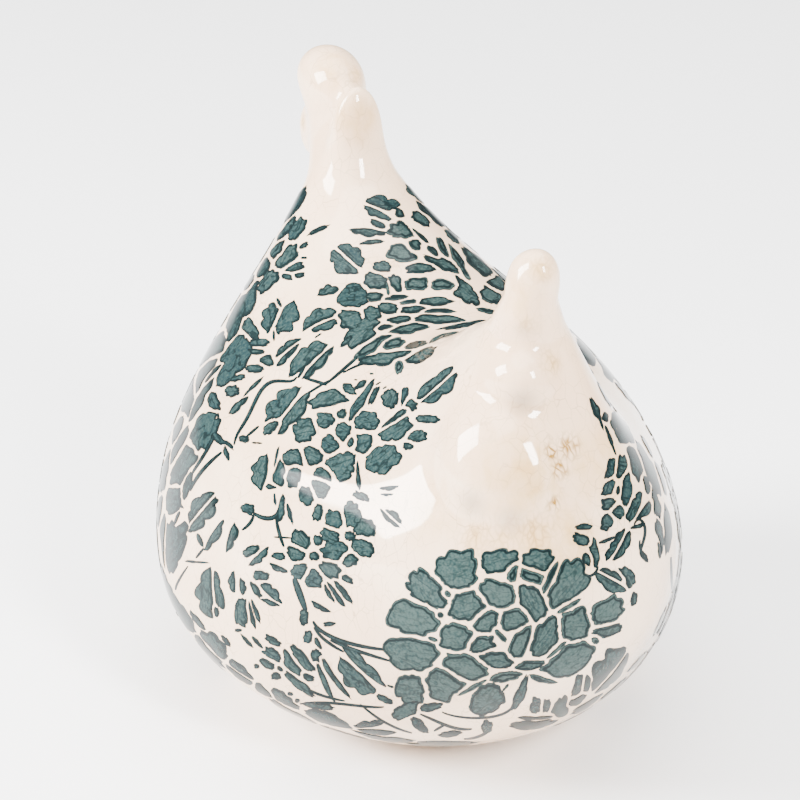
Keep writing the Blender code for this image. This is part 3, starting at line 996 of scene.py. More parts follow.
# The peony at the back of the neck, and the petals that run on behind it to the saddle
NAPE_MOTIFS = (
    petal(404, 230, 14, 8.5, 4),
    petal(421, 219, 10, 5, 30),
    leaf(417, 233, 15, 2.8, 42),
    petal(403, 253, 14, 9, 6),
    petal(414, 246, 7, 7, 20),
    leaf(447, 264, 22, 7, 22),
    petal(420, 268, 14, 5, 0),
    leaf(434, 253, 9, 4.5, 48),
    leaf(444, 249, 12, 5, 62),
    leaf(458, 262, 20, 5.5, 58),
    leaf(479, 264, 22, 5.5, 44),
    petal(497, 283, 9, 7, 40),
    leaf(452, 236, 10, 3, 46),
    leaf(431, 214, 20, 3.2, 44),
    leaf(416, 196, 14, 2.6, 48),
    petal(416, 284, 14, 6, -4),
    petal(447, 285, 18, 5.5, 4),
    petal(464, 291, 17, 8.5, 40),
    petal(491, 295, 11, 7.5, 26),
    petal(396, 283, 9, 6, 48),
    leaf(388, 290, 9, 2.2, 86),
    petal(375, 297, 9, 4.5, -4),
    petal(396, 298, 13, 3.2, 0),
    petal(409, 302, 10, 3.2, 0),
    leaf(433, 302, 18, 5, -4),
    petal(388, 308, 10, 5.5, 4),
    petal(414, 309, 13, 4.5, -8),
    leaf(438, 311, 16, 3, 0),
    petal(400, 320, 12, 4.5, -10),
    leaf(440, 320, 26, 6, 4),
    leaf(470, 324, 30, 3.4, -5),
    leaf(409, 328, 20, 6, -10),
    leaf(385, 327, 10, 4, -10),
    petal(362, 332, 20, 9, -38),
    leaf(375, 345, 22, 6, -30),
    petal(391, 343, 13, 6, -6),
    leaf(417, 345, 12, 3.6, -14),
    leaf(388, 358, 26, 6.5, -10),
    petal(399, 365, 4.5, 8, 0),
    leaf(421, 355, 16, 6, -24),
    leaf(441, 337, 18, 1.6, -20),
    leaf(487, 311, 10, 2.6, 14),
)

# The right flank, round to its edge
RIGHT_MOTIFS = (
    petal(611, 469, 12, 5, -74),
    petal(622, 466, 6, 12, 8),
    petal(609, 487, 10, 5.5, -66),
    petal(627, 490, 5.5, 19, 0),
    petal(609, 504, 8, 7, 10),
    petal(618, 511, 8, 7, 20),
    petal(618, 490, 2.6, 4.5),
    petal(607, 522, 6, 9, 20),
    half(637, 507, 16, -7, -68),
    half(645, 508, 13, 5, -54),
    leaf(638, 526, 8, 2.8, -20),
    leaf(660, 535, 18, 4, 84),
    leaf(668, 529, 24, 4, 88),
    leaf(624, 430, 22, 8, 62),
    leaf(636, 461, 24, 7, 70),
    leaf(649, 467, 30, 7, 66),
    leaf(655, 500, 20, 4.5, 74),
    leaf(647, 484, 14, 5, 66),
    leaf(661, 478, 18, 3.4, 74),
    leaf(615, 430, 13, 2.2, 64),
    leaf(647, 447, 13, 2.6, 66),
    leaf(598, 414, 17, 4.2, 66),
    petal(604, 418, 6, 5, -30),
    leaf(608, 434, 14, 2.2, 68),
    leaf(590, 354, 20, 6, 52),
    leaf(604, 366, 30, 7.5, 50),
    leaf(622, 390, 18, 3.2, 48),
    leaf(604, 395, 14, 1.8, 60),
    leaf(584, 527, 9, 3.4, -4),
    petal(583, 540, 11, 5.5, 20),
    petal(594, 552, 5.5, 14, -8),
    petal(588, 559, 5.5, 7, 10),
    half(617, 545, 18, -5.5, -60),
    half(622, 545, 17, 5.5, -62),
    leaf(607, 541, 9, 1.8, -16),
    half(612, 582, 18, 7, 30),
    half(614, 577, 15, -5, 26),
    petal(628, 577, 11, 6.5, 62),
    petal(634, 599, 3.5, 6.5, 8),
    leaf(644, 556, 7, 2.6, 60),
    leaf(660, 622, 16, 3, -70),
    leaf(678, 570, 20, 2.6, -84),
    leaf(659, 548, 10, 2, 84),
)

RIGHT_STEMS = (
    Stem(1.1, ((634, 526), (642, 521), (645, 534), (641, 549), (648, 562))),
    Stem(1.3, ((599, 543), (615, 537))),
    Stem(1.0, ((606, 428), (616, 455))),
)


# Shapes of each group, the most that they may swell, and their darkest and palest tones
PRINT_GROUPS = (
    (RUMP_PEONY, 1.22, (0.6, 1.0)),
    (LOW_MOTIFS, 1.04, (0.1, 0.5)),
    (FLANK_MOTIFS, 1.04, (0.1, 0.5)),
    (FLANK_BLOSSOM, 1.12, (0.1, 0.5)),
    # The left edge's darker range is partly the print's own dark and partly painted shade where the flank
    # turns away at its edge
    (LEFT_EDGE, 1.5, (0.0, 0.4)),
    (NECK_MOTIFS, 1.05, (0.1, 0.5)),
    (NAPE_MOTIFS, 1.12, (0.4, 0.8)),
    (RIGHT_MOTIFS, 1.05, (0.1, 0.5)),
)

FIRST_SEED = 7


@dataclass
class PatchSet:
    """Printed patches as arrays: points on the skin, one block for each patch of one layout."""

    points: np.ndarray
    edge_gap: np.ndarray
    grain: np.ndarray
    tone: np.ndarray
    faces: np.ndarray

    def pick(self, wanted: np.ndarray) -> "PatchSet":
        """The wanted patches."""
        parts = (self.points, self.edge_gap, self.grain, self.tone)
        return PatchSet(*(part[wanted] for part in parts), self.faces)

    def mirrored(self) -> "PatchSet":
        """The same patches on the hen's other side."""
        return replace(self, points=self.points * np.array((-1.0, 1.0, 1.0)), faces=self.faces[:, ::-1])


@dataclass
class FlowerPrint:
    """The teal transfer print, laid on the skin as thin patches just proud of it.

    A petal patch is a polar grid: the outline's radius times each ring's share. A stem patch is a
    strip of three points across a smooth curve.
    """

    form: HenForm
    camera: PhotoCamera
    ring_shares: tuple = (0.0, 0.4, 0.68, 0.86, 1.0)
    spokes: int = 56
    stem_steps: int = 24
    swell_steps: int = 14
    least_growth: float = 0.45
    half_gap: float = 1.05
    pixel: float = 0.325 * MILLIMETRE
    lift: float = 0.28 * MILLIMETRE
    rim_sink: float = 0.01 * MILLIMETRE
    stem_swell: float = 1.5
    least_facing: float = 0.16
    least_seen: float = 0.05
    behind_by: float = 4.0 * MILLIMETRE
    middle_gap: float = 1.2
    closeness: float = 0.9
    carries: tuple = (-72.0, -105.0, -50.0)

    @staticmethod
    def outline(motif: Motif, turn: np.ndarray, draw: np.random.Generator) -> np.ndarray:
        """Outline of one shape in pixels, along and across its own axis.

        A petal is a squarish oval. A leaf's width is pinched at both ends. A half leaf is a leaf
        whose one side is nearly straight. Each is scaled round its edge by rounded scallops, which
        are the root of a sine's size, and by one slow wave.

        Args:
            motif: The shape.
            turn: Angles round it.
            draw: The random draws for its waves.

        Returns:
            A point for each angle.
        """
        cosine = np.cos(turn)
        sine = np.sin(turn)
        scallop = np.abs(np.sin(0.5 * draw.integers(5, 9) * turn + draw.uniform(0.0, 3.1))) ** 0.5
        slow = np.sin(draw.integers(2, 4) * turn + draw.uniform(0.0, 6.3))
        if motif.shape is Shape.PETAL:
            along = np.sign(cosine) * np.abs(cosine) ** 0.78
            across = np.sign(sine) * np.abs(sine) ** 0.78
            reach = 0.82 + 0.22 * scallop + 0.08 * slow
        elif motif.shape is Shape.LEAF:
            along = cosine
            across = sine * np.abs(sine) ** 0.45
            reach = 0.88 + 0.2 * scallop + 0.05 * slow
        else:
            along = cosine
            leafy = sine * np.abs(sine) ** 0.3
            across = np.where(leafy > 0.0, leafy * (0.85 + 0.6 * scallop), leafy * 0.35)
            reach = 1.0 + 0.03 * slow
        outline = np.stack((along * reach * motif.long, across * reach * motif.wide), axis=1)
        return outline if motif.wide > 0.0 else outline[::-1]

    def swell(self, motifs: tuple, outlines: np.ndarray, most: float) -> np.ndarray:
        """Lets each shape swell until only a thin gap is left between it and its neighbours.

        A point's share of a shape is its distance from the shape's middle over the reach of the
        shape's oval that way. Two shapes meet where their shares are equal, and each stops half a
        gap before that, or where it has grown the most that it may.

        Args:
            motifs: The shapes.
            outlines: Their outlines, along and across each one's own axis.
            most: The greatest growth.

        Returns:
            The new outlines.
        """
        angles = np.radians([motif.turn for motif in motifs])
        cosine = np.cos(angles)
        sine = np.sin(angles)
        rows = np.stack((cosine, -sine, sine, cosine), axis=1).reshape(-1, 2, 2)
        slim = [motif.wide if motif.shape is Shape.PETAL else 0.8 * abs(motif.wide) for motif in motifs]
        bulge = [0.4 * motif.wide if motif.shape is Shape.HALF else 0.0 for motif in motifs]
        sizes = np.stack(([motif.long for motif in motifs], slim), axis=1)
        middles = np.stack((np.zeros(len(motifs)), bulge), axis=1)
        places = np.array([(motif.across, motif.down) for motif in motifs])
        places = places + np.einsum("nij,nj->ni", rows, middles)
        arms = outlines - middles[:, None]
        growth = np.linspace(self.least_growth, most, self.swell_steps)
        local = arms[:, :, None] * growth[None, None, :, None]
        spots = places[:, None, None] + np.einsum("nij,nabj->nabi", rows, local)
        own = np.linalg.norm(local / sizes[:, None, None], axis=3)
        offset = spots[:, :, :, None] - places
        turned = np.einsum("mij,nabmi->nabmj", rows, offset)
        other = np.linalg.norm(turned / sizes, axis=4)
        reach = np.linalg.norm(offset, axis=4)
        own_slope = own / np.maximum(np.linalg.norm(local, axis=3), 1e-6)
        slope = other / np.maximum(reach, 1e-6) + own_slope[..., None]
        clearance = (other - own[..., None]) / slope
        itself = np.arange(len(motifs))
        clearance[itself, :, :, itself] = np.inf
        blocked = clearance.min(axis=3) < self.half_gap
        first = np.where(blocked.any(axis=2), np.argmax(blocked, axis=2), self.swell_steps)
        scale = growth[np.clip(first - 1, 0, self.swell_steps - 1)]
        soft = 0.25 * np.roll(scale, 1, axis=1) + 0.5 * scale + 0.25 * np.roll(scale, -1, axis=1)
        return middles[:, None] + arms * soft[..., None]

    @staticmethod
    def fray(count: int, turn: np.ndarray, draw: np.random.Generator) -> np.ndarray:
        """Small waves round each shape's edge, as factors: two sines of a whole number of waves each."""
        slow = draw.integers(6, 10, (count, 1)) * turn + draw.uniform(0.0, 6.3, (count, 1))
        fast = draw.integers(11, 16, (count, 1)) * turn + draw.uniform(0.0, 6.3, (count, 1))
        return 1.0 + 0.03 * np.sin(slow) + 0.014 * np.sin(fast)

    def lay(self, motifs: tuple, seed: int, most: float, tones: tuple[float, float]) -> PatchSet:
        """Lays petals and leaves on the side that the photograph shows.

        Each is drawn flat, slid along the sight line onto the skin's plane at its middle, and settled.

        Args:
            motifs: The shapes, in the photograph's pixels.
            seed: Start of the draws for the edges and tones.
            most: How much a shape may swell towards its neighbours.
            tones: Darkest and palest tone of the group, from 0 to 1.

        Returns:
            The patches on the skin.
        """
        draw = np.random.default_rng(seed)
        count = len(motifs)
        turn = np.linspace(0.0, 2.0 * math.pi, self.spokes, endpoint=False)
        outlines = np.stack([self.outline(motif, turn, draw) for motif in motifs])
        outlines = self.swell(motifs, outlines, most)
        middles = outlines.mean(axis=1)[:, None]
        outlines = middles + (outlines - middles) * self.fray(count, turn, draw)[..., None]
        shares = np.array(self.ring_shares[1:])[None, :, None, None]
        rings = middles[:, None] + (outlines - middles)[:, None] * shares
        local = np.concatenate((middles, rings.reshape(count, -1, 2)), axis=1)
        spans = np.linalg.norm(local[:, :, None] - outlines[:, None], axis=3).min(axis=2)
        angles = np.radians([motif.turn for motif in motifs])[:, None]
        across = np.cos(angles) * local[..., 0] - np.sin(angles) * local[..., 1]
        down = np.sin(angles) * local[..., 0] + np.cos(angles) * local[..., 1]
        tone = draw.uniform(*tones, (count, 1))
        grain = local * self.pixel + draw.uniform(0.0, 1.0, (count, 1, 2))
        anchors = np.array([(motif.across, motif.down) for motif in motifs])
        eye, _, right, up = self.camera.basis()
        sight = self.camera.sight(*anchors.T)
        seen = self.form.cast(eye, sight)
        kept = ~np.isnan(seen[:, 0])
        if not kept.all():
            LOG.warning("places off the hen: %s", anchors[~kept].tolist())
        seen = seen[kept]
        sight = sight[kept]
        normal = self.form.normals(seen)
        scale = np.linalg.norm(seen - eye, axis=1) / self.camera.focal_pixels
        flat = (across[kept][..., None] * right - down[kept][..., None] * up) * scale[:, None, None]
        facing = np.minimum((sight * normal).sum(axis=1), -self.least_facing)
        slide = (flat * normal[:, None]).sum(axis=2) / facing[:, None]
        laid = seen[:, None] + flat - sight[:, None] * slide[..., None]
        points = self.form.settle(laid.reshape(-1, 3)).reshape(laid.shape)
        gap = spans[kept] * self.pixel
        tone = np.broadcast_to(tone[kept], gap.shape)
        return PatchSet(points, gap, grain[kept], tone, self.polar_faces())

    def polar_faces(self) -> np.ndarray:
        """Faces of one polar grid as quads, the middle fan's third and fourth corners the same."""
        column, following = ring_numbers(self.spokes)
        fan = np.stack((np.zeros_like(column), following + 1, column + 1, column + 1), axis=1)
        base = 1 + np.arange(len(self.ring_shares) - 2)[:, None] * self.spokes
        outer = base + self.spokes
        bands = np.stack((base + column, base + following, outer + following, outer + column), axis=2)
        return np.concatenate((fan, bands.reshape(-1, 4)))

    @staticmethod
    def curve(knots: np.ndarray, share: np.ndarray) -> np.ndarray:
        """A smooth curve through knots, each weighted by the product that is 0 at all the others."""
        order = np.linspace(0.0, 1.0, len(knots))
        weights = []
        for own in order:
            factors = [(share - other) / (own - other) for other in order if other != own]
            weights.append(np.prod(factors, axis=0))
        return np.array(weights).T @ knots

    def lay_stems(self, stems: tuple) -> PatchSet:
        """Lays stems: a smooth curve through each stem's points, tapered towards its ends."""
        share = np.linspace(0.0, 1.0, self.stem_steps)
        none = np.zeros(self.stem_steps)
        strips = []
        gaps = []
        for stem in stems:
            curve = self.curve(np.array(stem.points, float), share)
            course = np.gradient(curve, axis=0)
            course /= np.linalg.norm(course, axis=1, keepdims=True)
            side = np.stack((-course[:, 1], course[:, 0]), axis=1)
            width = self.stem_swell * stem.wide * (0.45 + 0.55 * np.sin(math.pi * share) ** 0.5)
            lines = [curve + side * width[:, None] * reach for reach in (-1.0, 0.0, 1.0)]
            strips.append(np.stack(lines, axis=1).reshape(-1, 2))
            gaps.append(np.stack((none, width, none), axis=1).reshape(-1))
        eye = self.camera.basis()[0]
        points = self.form.cast(eye, self.camera.sight(*np.concatenate(strips).T))
        points = points.reshape(len(stems), -1, 3)
        gap = np.array(gaps) * self.pixel
        row = np.arange(self.stem_steps - 1)[:, None] * 3
        place = row + np.arange(2)
        faces = np.stack((place, place + 1, place + 4, place + 3), axis=2).reshape(-1, 4)
        laid = PatchSet(points, gap, np.zeros((*gap.shape, 2)), np.zeros(gap.shape), faces)
        whole = ~np.isnan(points).any(axis=(1, 2))
        if not whole.all():
            LOG.warning("stems off the hen: %s", [stems[index].points[0] for index in np.flatnonzero(~whole)])
        return laid.pick(whole)

    def hidden(self, patches: PatchSet) -> np.ndarray:
        """Which patches the photograph can't show: turned away from it, or behind the tail or neck."""
        if len(patches.points) == 0:
            return np.zeros(0, bool)
        eye = self.camera.basis()[0]
        middle = self.form.settle(patches.points.mean(axis=1))
        line = middle - eye
        reach = np.linalg.norm(line, axis=1)
        line /= reach[:, None]
        first = self.form.cast(eye, line)
        behind = np.linalg.norm(first - eye, axis=1) < reach - self.behind_by
        return behind | ((line * self.form.normals(middle)).sum(axis=1) > -self.least_seen)

    def turned(self, skin: np.ndarray, degrees: float) -> np.ndarray:
        """Points turned round the body and the neck.

        Each turns about an upright line through the middle of the body at its own height, which
        leans forward with the neck.

        Args:
            skin: The points.
            degrees: How far they turn, from +X towards +Y.

        Returns:
            The turned points.
        """
        angle = math.radians(degrees)
        heights = (self.form.belly.height, self.form.neck.end[1])
        middle = np.interp(skin[:, 2], heights, (0.0, self.form.neck.end[0])) + self.form.shift
        along = skin[:, 1] - middle
        across = math.cos(angle) * skin[:, 0] - math.sin(angle) * along
        onward = math.sin(angle) * skin[:, 0] + math.cos(angle) * along + middle
        return np.stack((across, onward, skin[:, 2]), axis=1)

    def carry(self, patches: PatchSet, degrees: float) -> PatchSet:
        """Those patches that come to the breast when they are turned round the body, back on the skin."""
        middles, radii = self.spread(patches)
        landed = self.turned(middles, degrees)
        near = patches.pick((landed[:, 0] > self.middle_gap * radii) & (landed[:, 1] < 0.0))
        points = self.form.settle(self.turned(near.points.reshape(-1, 3), degrees))
        return replace(near, points=points.reshape(near.points.shape))

    def spread(self, patches: PatchSet) -> tuple[np.ndarray, np.ndarray]:
        """The middle of each patch, and the mean distance from it to the patch's outline."""
        middles = patches.points.mean(axis=1)
        rim = patches.points[:, -self.spokes :]
        return middles, np.linalg.norm(rim - middles[:, None], axis=2).mean(axis=1)

    def clear_of(self, patches: PatchSet, laid: list) -> np.ndarray:
        """Which patches keep clear of all that are laid already."""
        middles, radii = self.spread(patches)
        free = np.ones(len(middles), bool)
        for other in laid:
            other_middles, other_radii = self.spread(other)
            if len(other_middles) and len(middles):
                apart = np.linalg.norm(middles[:, None] - other_middles, axis=2)
                free &= (apart > self.closeness * (radii[:, None] + other_radii)).all(axis=1)
        return free

    def far_side(self, seen: list) -> list:
        """The print on the side that the photograph doesn't show: the seen side's, mirrored."""
        far = []
        for patches in seen:
            other = patches.mirrored()
            far.append(other.pick(self.hidden(other) & self.clear_of(other, seen)))
        return far

    def breast(self, seen: list, far: list) -> list:
        """The print on the breast: the seen side's, carried round in turns, and then mirrored."""
        laid = []
        for degrees in self.carries:
            for patches in seen:
                moved = self.carry(patches, degrees)
                if len(moved.points):
                    wanted = self.hidden(moved) & self.clear_of(moved, seen + far + laid)
                    laid.append(moved.pick(wanted))
        for patches in list(laid):
            other = patches.mirrored()
            laid.append(other.pick(self.clear_of(other, seen + far)))
        return laid

    def build(self, name: str, sets: list) -> bpy.types.Object:
        """Makes one object of several sets of patches.

        Args:
            name: The object's name.
            sets: The patch sets.

        Returns:
            The print, with the attributes that its finish reads.
        """
        sets = [patches for patches in sets if len(patches.points)]
        vertices = []
        normals = []
        faces = []
        start = 0
        for patches in sets:
            count, size = patches.points.shape[:2]
            raise_by = np.where(patches.edge_gap < 1e-7, -self.rim_sink, self.lift)
            skin = patches.points.reshape(-1, 3)
            normal = self.form.normals(skin)
            vertices.append(skin + normal * raise_by.reshape(-1, 1))
            normals.append(normal)
            offset = start + np.arange(count)[:, None, None] * size
            faces.append((patches.faces[None] + offset).reshape(-1, 4))
            start += count * size
        corners = [list(dict.fromkeys(face)) for face in np.concatenate(faces).tolist()]
        item = mesh_object(name, np.concatenate(vertices), corners)
        mesh = item.data
        gap = mesh.attributes.new("edge_gap", "FLOAT", "POINT")
        gap.data.foreach_set("value", np.concatenate([part.edge_gap.ravel() for part in sets]) / MILLIMETRE)
        tone = mesh.attributes.new("tone", "FLOAT", "POINT")
        tone.data.foreach_set("value", np.concatenate([part.tone.ravel() for part in sets]))
        grain = mesh.attributes.new("grain", "FLOAT_VECTOR", "POINT")
        flat = np.concatenate([part.grain.reshape(-1, 2) for part in sets])
        grain.data.foreach_set("vector", np.column_stack((flat, np.zeros(len(flat)))).ravel())
        mesh.normals_split_custom_set_from_vertices(np.concatenate(normals).tolist())
        return item


@dataclass(frozen=True)
class Stain:
    """A brown stain in the glaze, or a spot of painted shade: its place and radius in the photograph's
    pixels.

    `haze` is how far it turns the cream tan, `net` how dark it draws the crackle in it, and
    `pool` how far it paints grey-tan shade where shade falls under the tail's knob and bumps.
    """

    across: float
    down: float
    radius: float
    haze: float
    net: float
    pool: float = 0.0


# Old tea-brown stains on the rump, the tail, the knob, the comb and the face, broad tan hazes, and painted
# shade under the tail's knob and feather bumps
STAINS = (
    Stain(568, 447, 21, 0.45, 1.8),
    Stain(552, 451, 14, 0.45, 1.8),
    Stain(560, 470, 17, 0.5, 1.8),
    Stain(553, 504, 13, 0.6, 1.8),
    Stain(478, 536, 36, 0.4, 0.35),
    Stain(508, 536, 36, 0.42, 0.35),
    Stain(541, 530, 36, 0.5, 0.5),
    Stain(550, 362, 22, 0.5, 0.5),
    Stain(530, 322, 22, 0.4, 0.35),
    Stain(520, 300, 38, 0.4, 0.0),
    # Broad tan hazes over the rump and the right flank
    Stain(530, 480, 95, 0.6, 0.05),
    Stain(560, 540, 80, 0.65, 0.1),
    Stain(440, 510, 65, 0.4, 0.05),
    Stain(600, 470, 75, 0.55, 0.0),
    Stain(541, 268, 26, 0.45, 0.25),
    Stain(354, 74, 17, 0.7, 0.4),
    Stain(334, 70, 34, 0.6, 0.1),
    Stain(303, 122, 13, 0.9, 0.4),
    Stain(358, 120, 36, 0.6, 0.1),
    Stain(385, 265, 32, 0.35, 0.3),
    # Painted shade: grey-tan glaze under the knob and the feather bumps of the tail, where shade falls
    Stain(522, 402, 25, 0.0, 0.0, 0.85),
    Stain(472, 503, 23, 0.0, 0.0, 0.75),
    Stain(510, 520, 24, 0.0, 0.0, 0.65),
    Stain(524, 330, 16, 0.0, 0.0, 0.35),
)


@dataclass(frozen=True)
class GlazeFinish:
    """Lead-clear glaze over cream slip on a cast earthenware body, fired glossy.

    The eye sees a warm cream with faint clouds, a fine net of crackle, tan hazes, brown nets where tea
    has crept into it, grey-tan shade painted under the tail's bumps, and mirror-clear reflections.
    The foot ring is bare clay.
    """

    cream: str = "#F1D2B2"
    shade: str = "#E8C4A0"
    tan: str = "#CFA258"
    # Grey tan of the painted shade under the tail's knob and bumps
    underside_shade_colour: str = "#AC947A"
    crack: str = "#8A6444"
    stain: str = "#8A6218"
    clay: str = "#C3A684"
    roughness: float = 0.07
    clay_roughness: float = 0.75
    ior: float = 1.54
    cell: float = 3.8 * MILLIMETRE
    stain_cell: float = 2.0 * MILLIMETRE
    cell_squash: float = 0.6
    crack_width: float = 0.035
    stain_width: float = 0.2
    cloud: float = 33.333 * MILLIMETRE
    warp: float = 7.143 * MILLIMETRE
    warp_by: float = 4.0 * MILLIMETRE
    blotch: float = 5.882 * MILLIMETRE
    blotch_shares: tuple[float, float] = (0.45, 1.2)
    patch: float = 18.182 * MILLIMETRE
    patch_shares: tuple[float, float] = (0.08, 0.5)
    ripple: float = 16.667 * MILLIMETRE
    ripple_depth: float = 0.4 * MILLIMETRE
    ripple_strength: float = 0.25
    clay_top: float = 0.6 * MILLIMETRE
    glaze_start: float = 1.6 * MILLIMETRE

    def net(
        self, tree: bpy.types.NodeTree, place: bpy.types.NodeSocket, cell: float, width: float
    ) -> bpy.types.NodeSocket:
        """Adds a crackle net.

        Args:
            tree: The node tree.
            place: Where the net is read.
            cell: Size of its cells.
            width: Half width of its lines, as a share of a cell.

        Returns:
            A value that is 1 on the lines and 0 between them.
        """
        inputs = {"Vector": place, "Scale": 1.0 / cell}
        gap = add_node(tree, "TexVoronoi", inputs, feature="DISTANCE_TO_EDGE")
        return add_node(tree, "MapRange", (gap, 0.0, width, 1.0, 0.0))

    def gather(self, tree: bpy.types.NodeTree, place: bpy.types.NodeSocket, spots: list) -> list:
        """Adds the reach of all stains.

        Args:
            tree: The node tree.
            place: Object coordinates.
            spots: Middle, radius, haze, net and painted underside shade of each stain.

        Returns:
            Three values: the greatest haze, net and painted underside shade share at a place.
        """
        totals = [None, None, None]
        for middle, radius, *shares in spots:
            away = add_node(tree, "VectorMath", (place, middle), "Value", operation="DISTANCE")
            for index, share in enumerate(shares):
                if share > 0.0:
                    reach = (away, 0.0, radius, share, 0.0)
                    total = add_node(tree, "MapRange", reach, interpolation_type="SMOOTHSTEP")
                    if totals[index] is not None:
                        total = add_node(tree, "Math", (totals[index], total), operation="MAXIMUM")
                    totals[index] = total
        return totals

    def build(self, spots: list) -> bpy.types.Material:
        """Makes the material.

        Args:
            spots: Middle, radius, haze, net and painted underside shade of each stain, in metres.

        Returns:
            The glaze.
        """
        material, tree, shader = new_material("cream_crackle_glaze")
        place = add_node(tree, "TexCoord", (), "Object")
        clouds = add_node(tree, "TexNoise", {"Vector": place, "Scale": 1.0 / self.cloud, "Detail": 4.0})
        colour = add_node(tree, "ValToRGB", (clouds,), stops=((0.35, self.shade), (0.62, self.cream)))
        warp = {"Vector": place, "Scale": 1.0 / self.warp, "Detail": 2.0}
        warp = add_node(tree, "TexNoise", warp, "Color")
        bent = add_node(tree, "VectorMath", (warp, (self.warp_by,) * 3, place), operation="MULTIPLY_ADD")
        bent = add_node(tree, "VectorMath", (bent, (1.0, 1.0, self.cell_squash)), operation="MULTIPLY")
        haze, brown, pool = self.gather(tree, place, spots)
        blotch = add_node(tree, "TexNoise", {"Vector": bent, "Scale": 1.0 / self.blotch, "Detail": 5.0})
        blotch = add_node(tree, "MapRange", (blotch, 0.36, 0.62, *self.blotch_shares))
        patches = add_node(tree, "TexNoise", {"Vector": place, "Scale": 1.0 / self.patch, "Detail": 3.0})
        patches = add_node(tree, "MapRange", (patches, 0.42, 0.66, *self.patch_shares))
        cracks = self.net(tree, bent, self.cell, self.crack_width)
        brown_net = self.net(tree, bent, self.stain_cell, self.stain_width)
        haze = add_node(tree, "Math", (haze, blotch), operation="MULTIPLY")
        cracks = add_node(tree, "Math", (cracks, patches), operation="MULTIPLY")
        brown = add_node(tree, "Math", (brown_net, brown), operation="MULTIPLY")
        brown = add_node(tree, "Math", (brown, blotch), operation="MULTIPLY", use_clamp=True)
        height = add_node(tree, "SeparateXYZ", (place,), "Z")
        bare = add_node(tree, "MapRange", (height, self.clay_top, self.glaze_start, 1.0, 0.0))
        # The underside share paints grey-tan shade under the tail's knob and bumps
        shares = (haze, pool, cracks, brown, bare)
        tints = (self.tan, self.underside_shade_colour, self.crack, self.stain, self.clay)
        for share, tint in zip(shares, tints):
            colour = add_node(tree, "Mix", {0: share, 6: colour, 7: linear(tint)}, 2, data_type="RGBA")
        gloss = add_node(tree, "MapRange", (bare, 0.0, 1.0, self.roughness, self.clay_roughness))
        ripple = add_node(tree, "TexNoise", {"Vector": place, "Scale": 1.0 / self.ripple, "Detail": 1.0})
        bump = {"Height": ripple, "Strength": self.ripple_strength, "Distance": self.ripple_depth}
        bump = add_node(tree, "Bump", bump)
        tree.links.new(colour, shader.inputs["Base Color"])
        tree.links.new(gloss, shader.inputs["Roughness"])
        tree.links.new(bump, shader.inputs["Normal"])
        shader.inputs["IOR"].default_value = self.ior
        return material


def stain_spots(form: HenForm, camera: PhotoCamera) -> list:
    """Finds where the stains lie on the skin.

    Args:
        form: The hen's form.
        camera: The photograph's viewpoint.

    Returns:
        Middle, radius, haze, net and painted underside shade of each stain that meets the hen.
    """
    places = np.array([(stain.across, stain.down) for stain in STAINS])
    eye = camera.basis()[0]
    seen = form.cast(eye, camera.sight(*places.T))
    spots = []
    for stain, middle in zip(STAINS, seen):
        if np.isnan(middle).any():
            LOG.warning("a stain off the hen: %s", stain)
            continue
        radius = stain.radius * float(np.linalg.norm(middle - eye)) / camera.focal_pixels
        spots.append((tuple(middle.tolist()), radius, stain.haze, stain.net, stain.pool))
    return spots


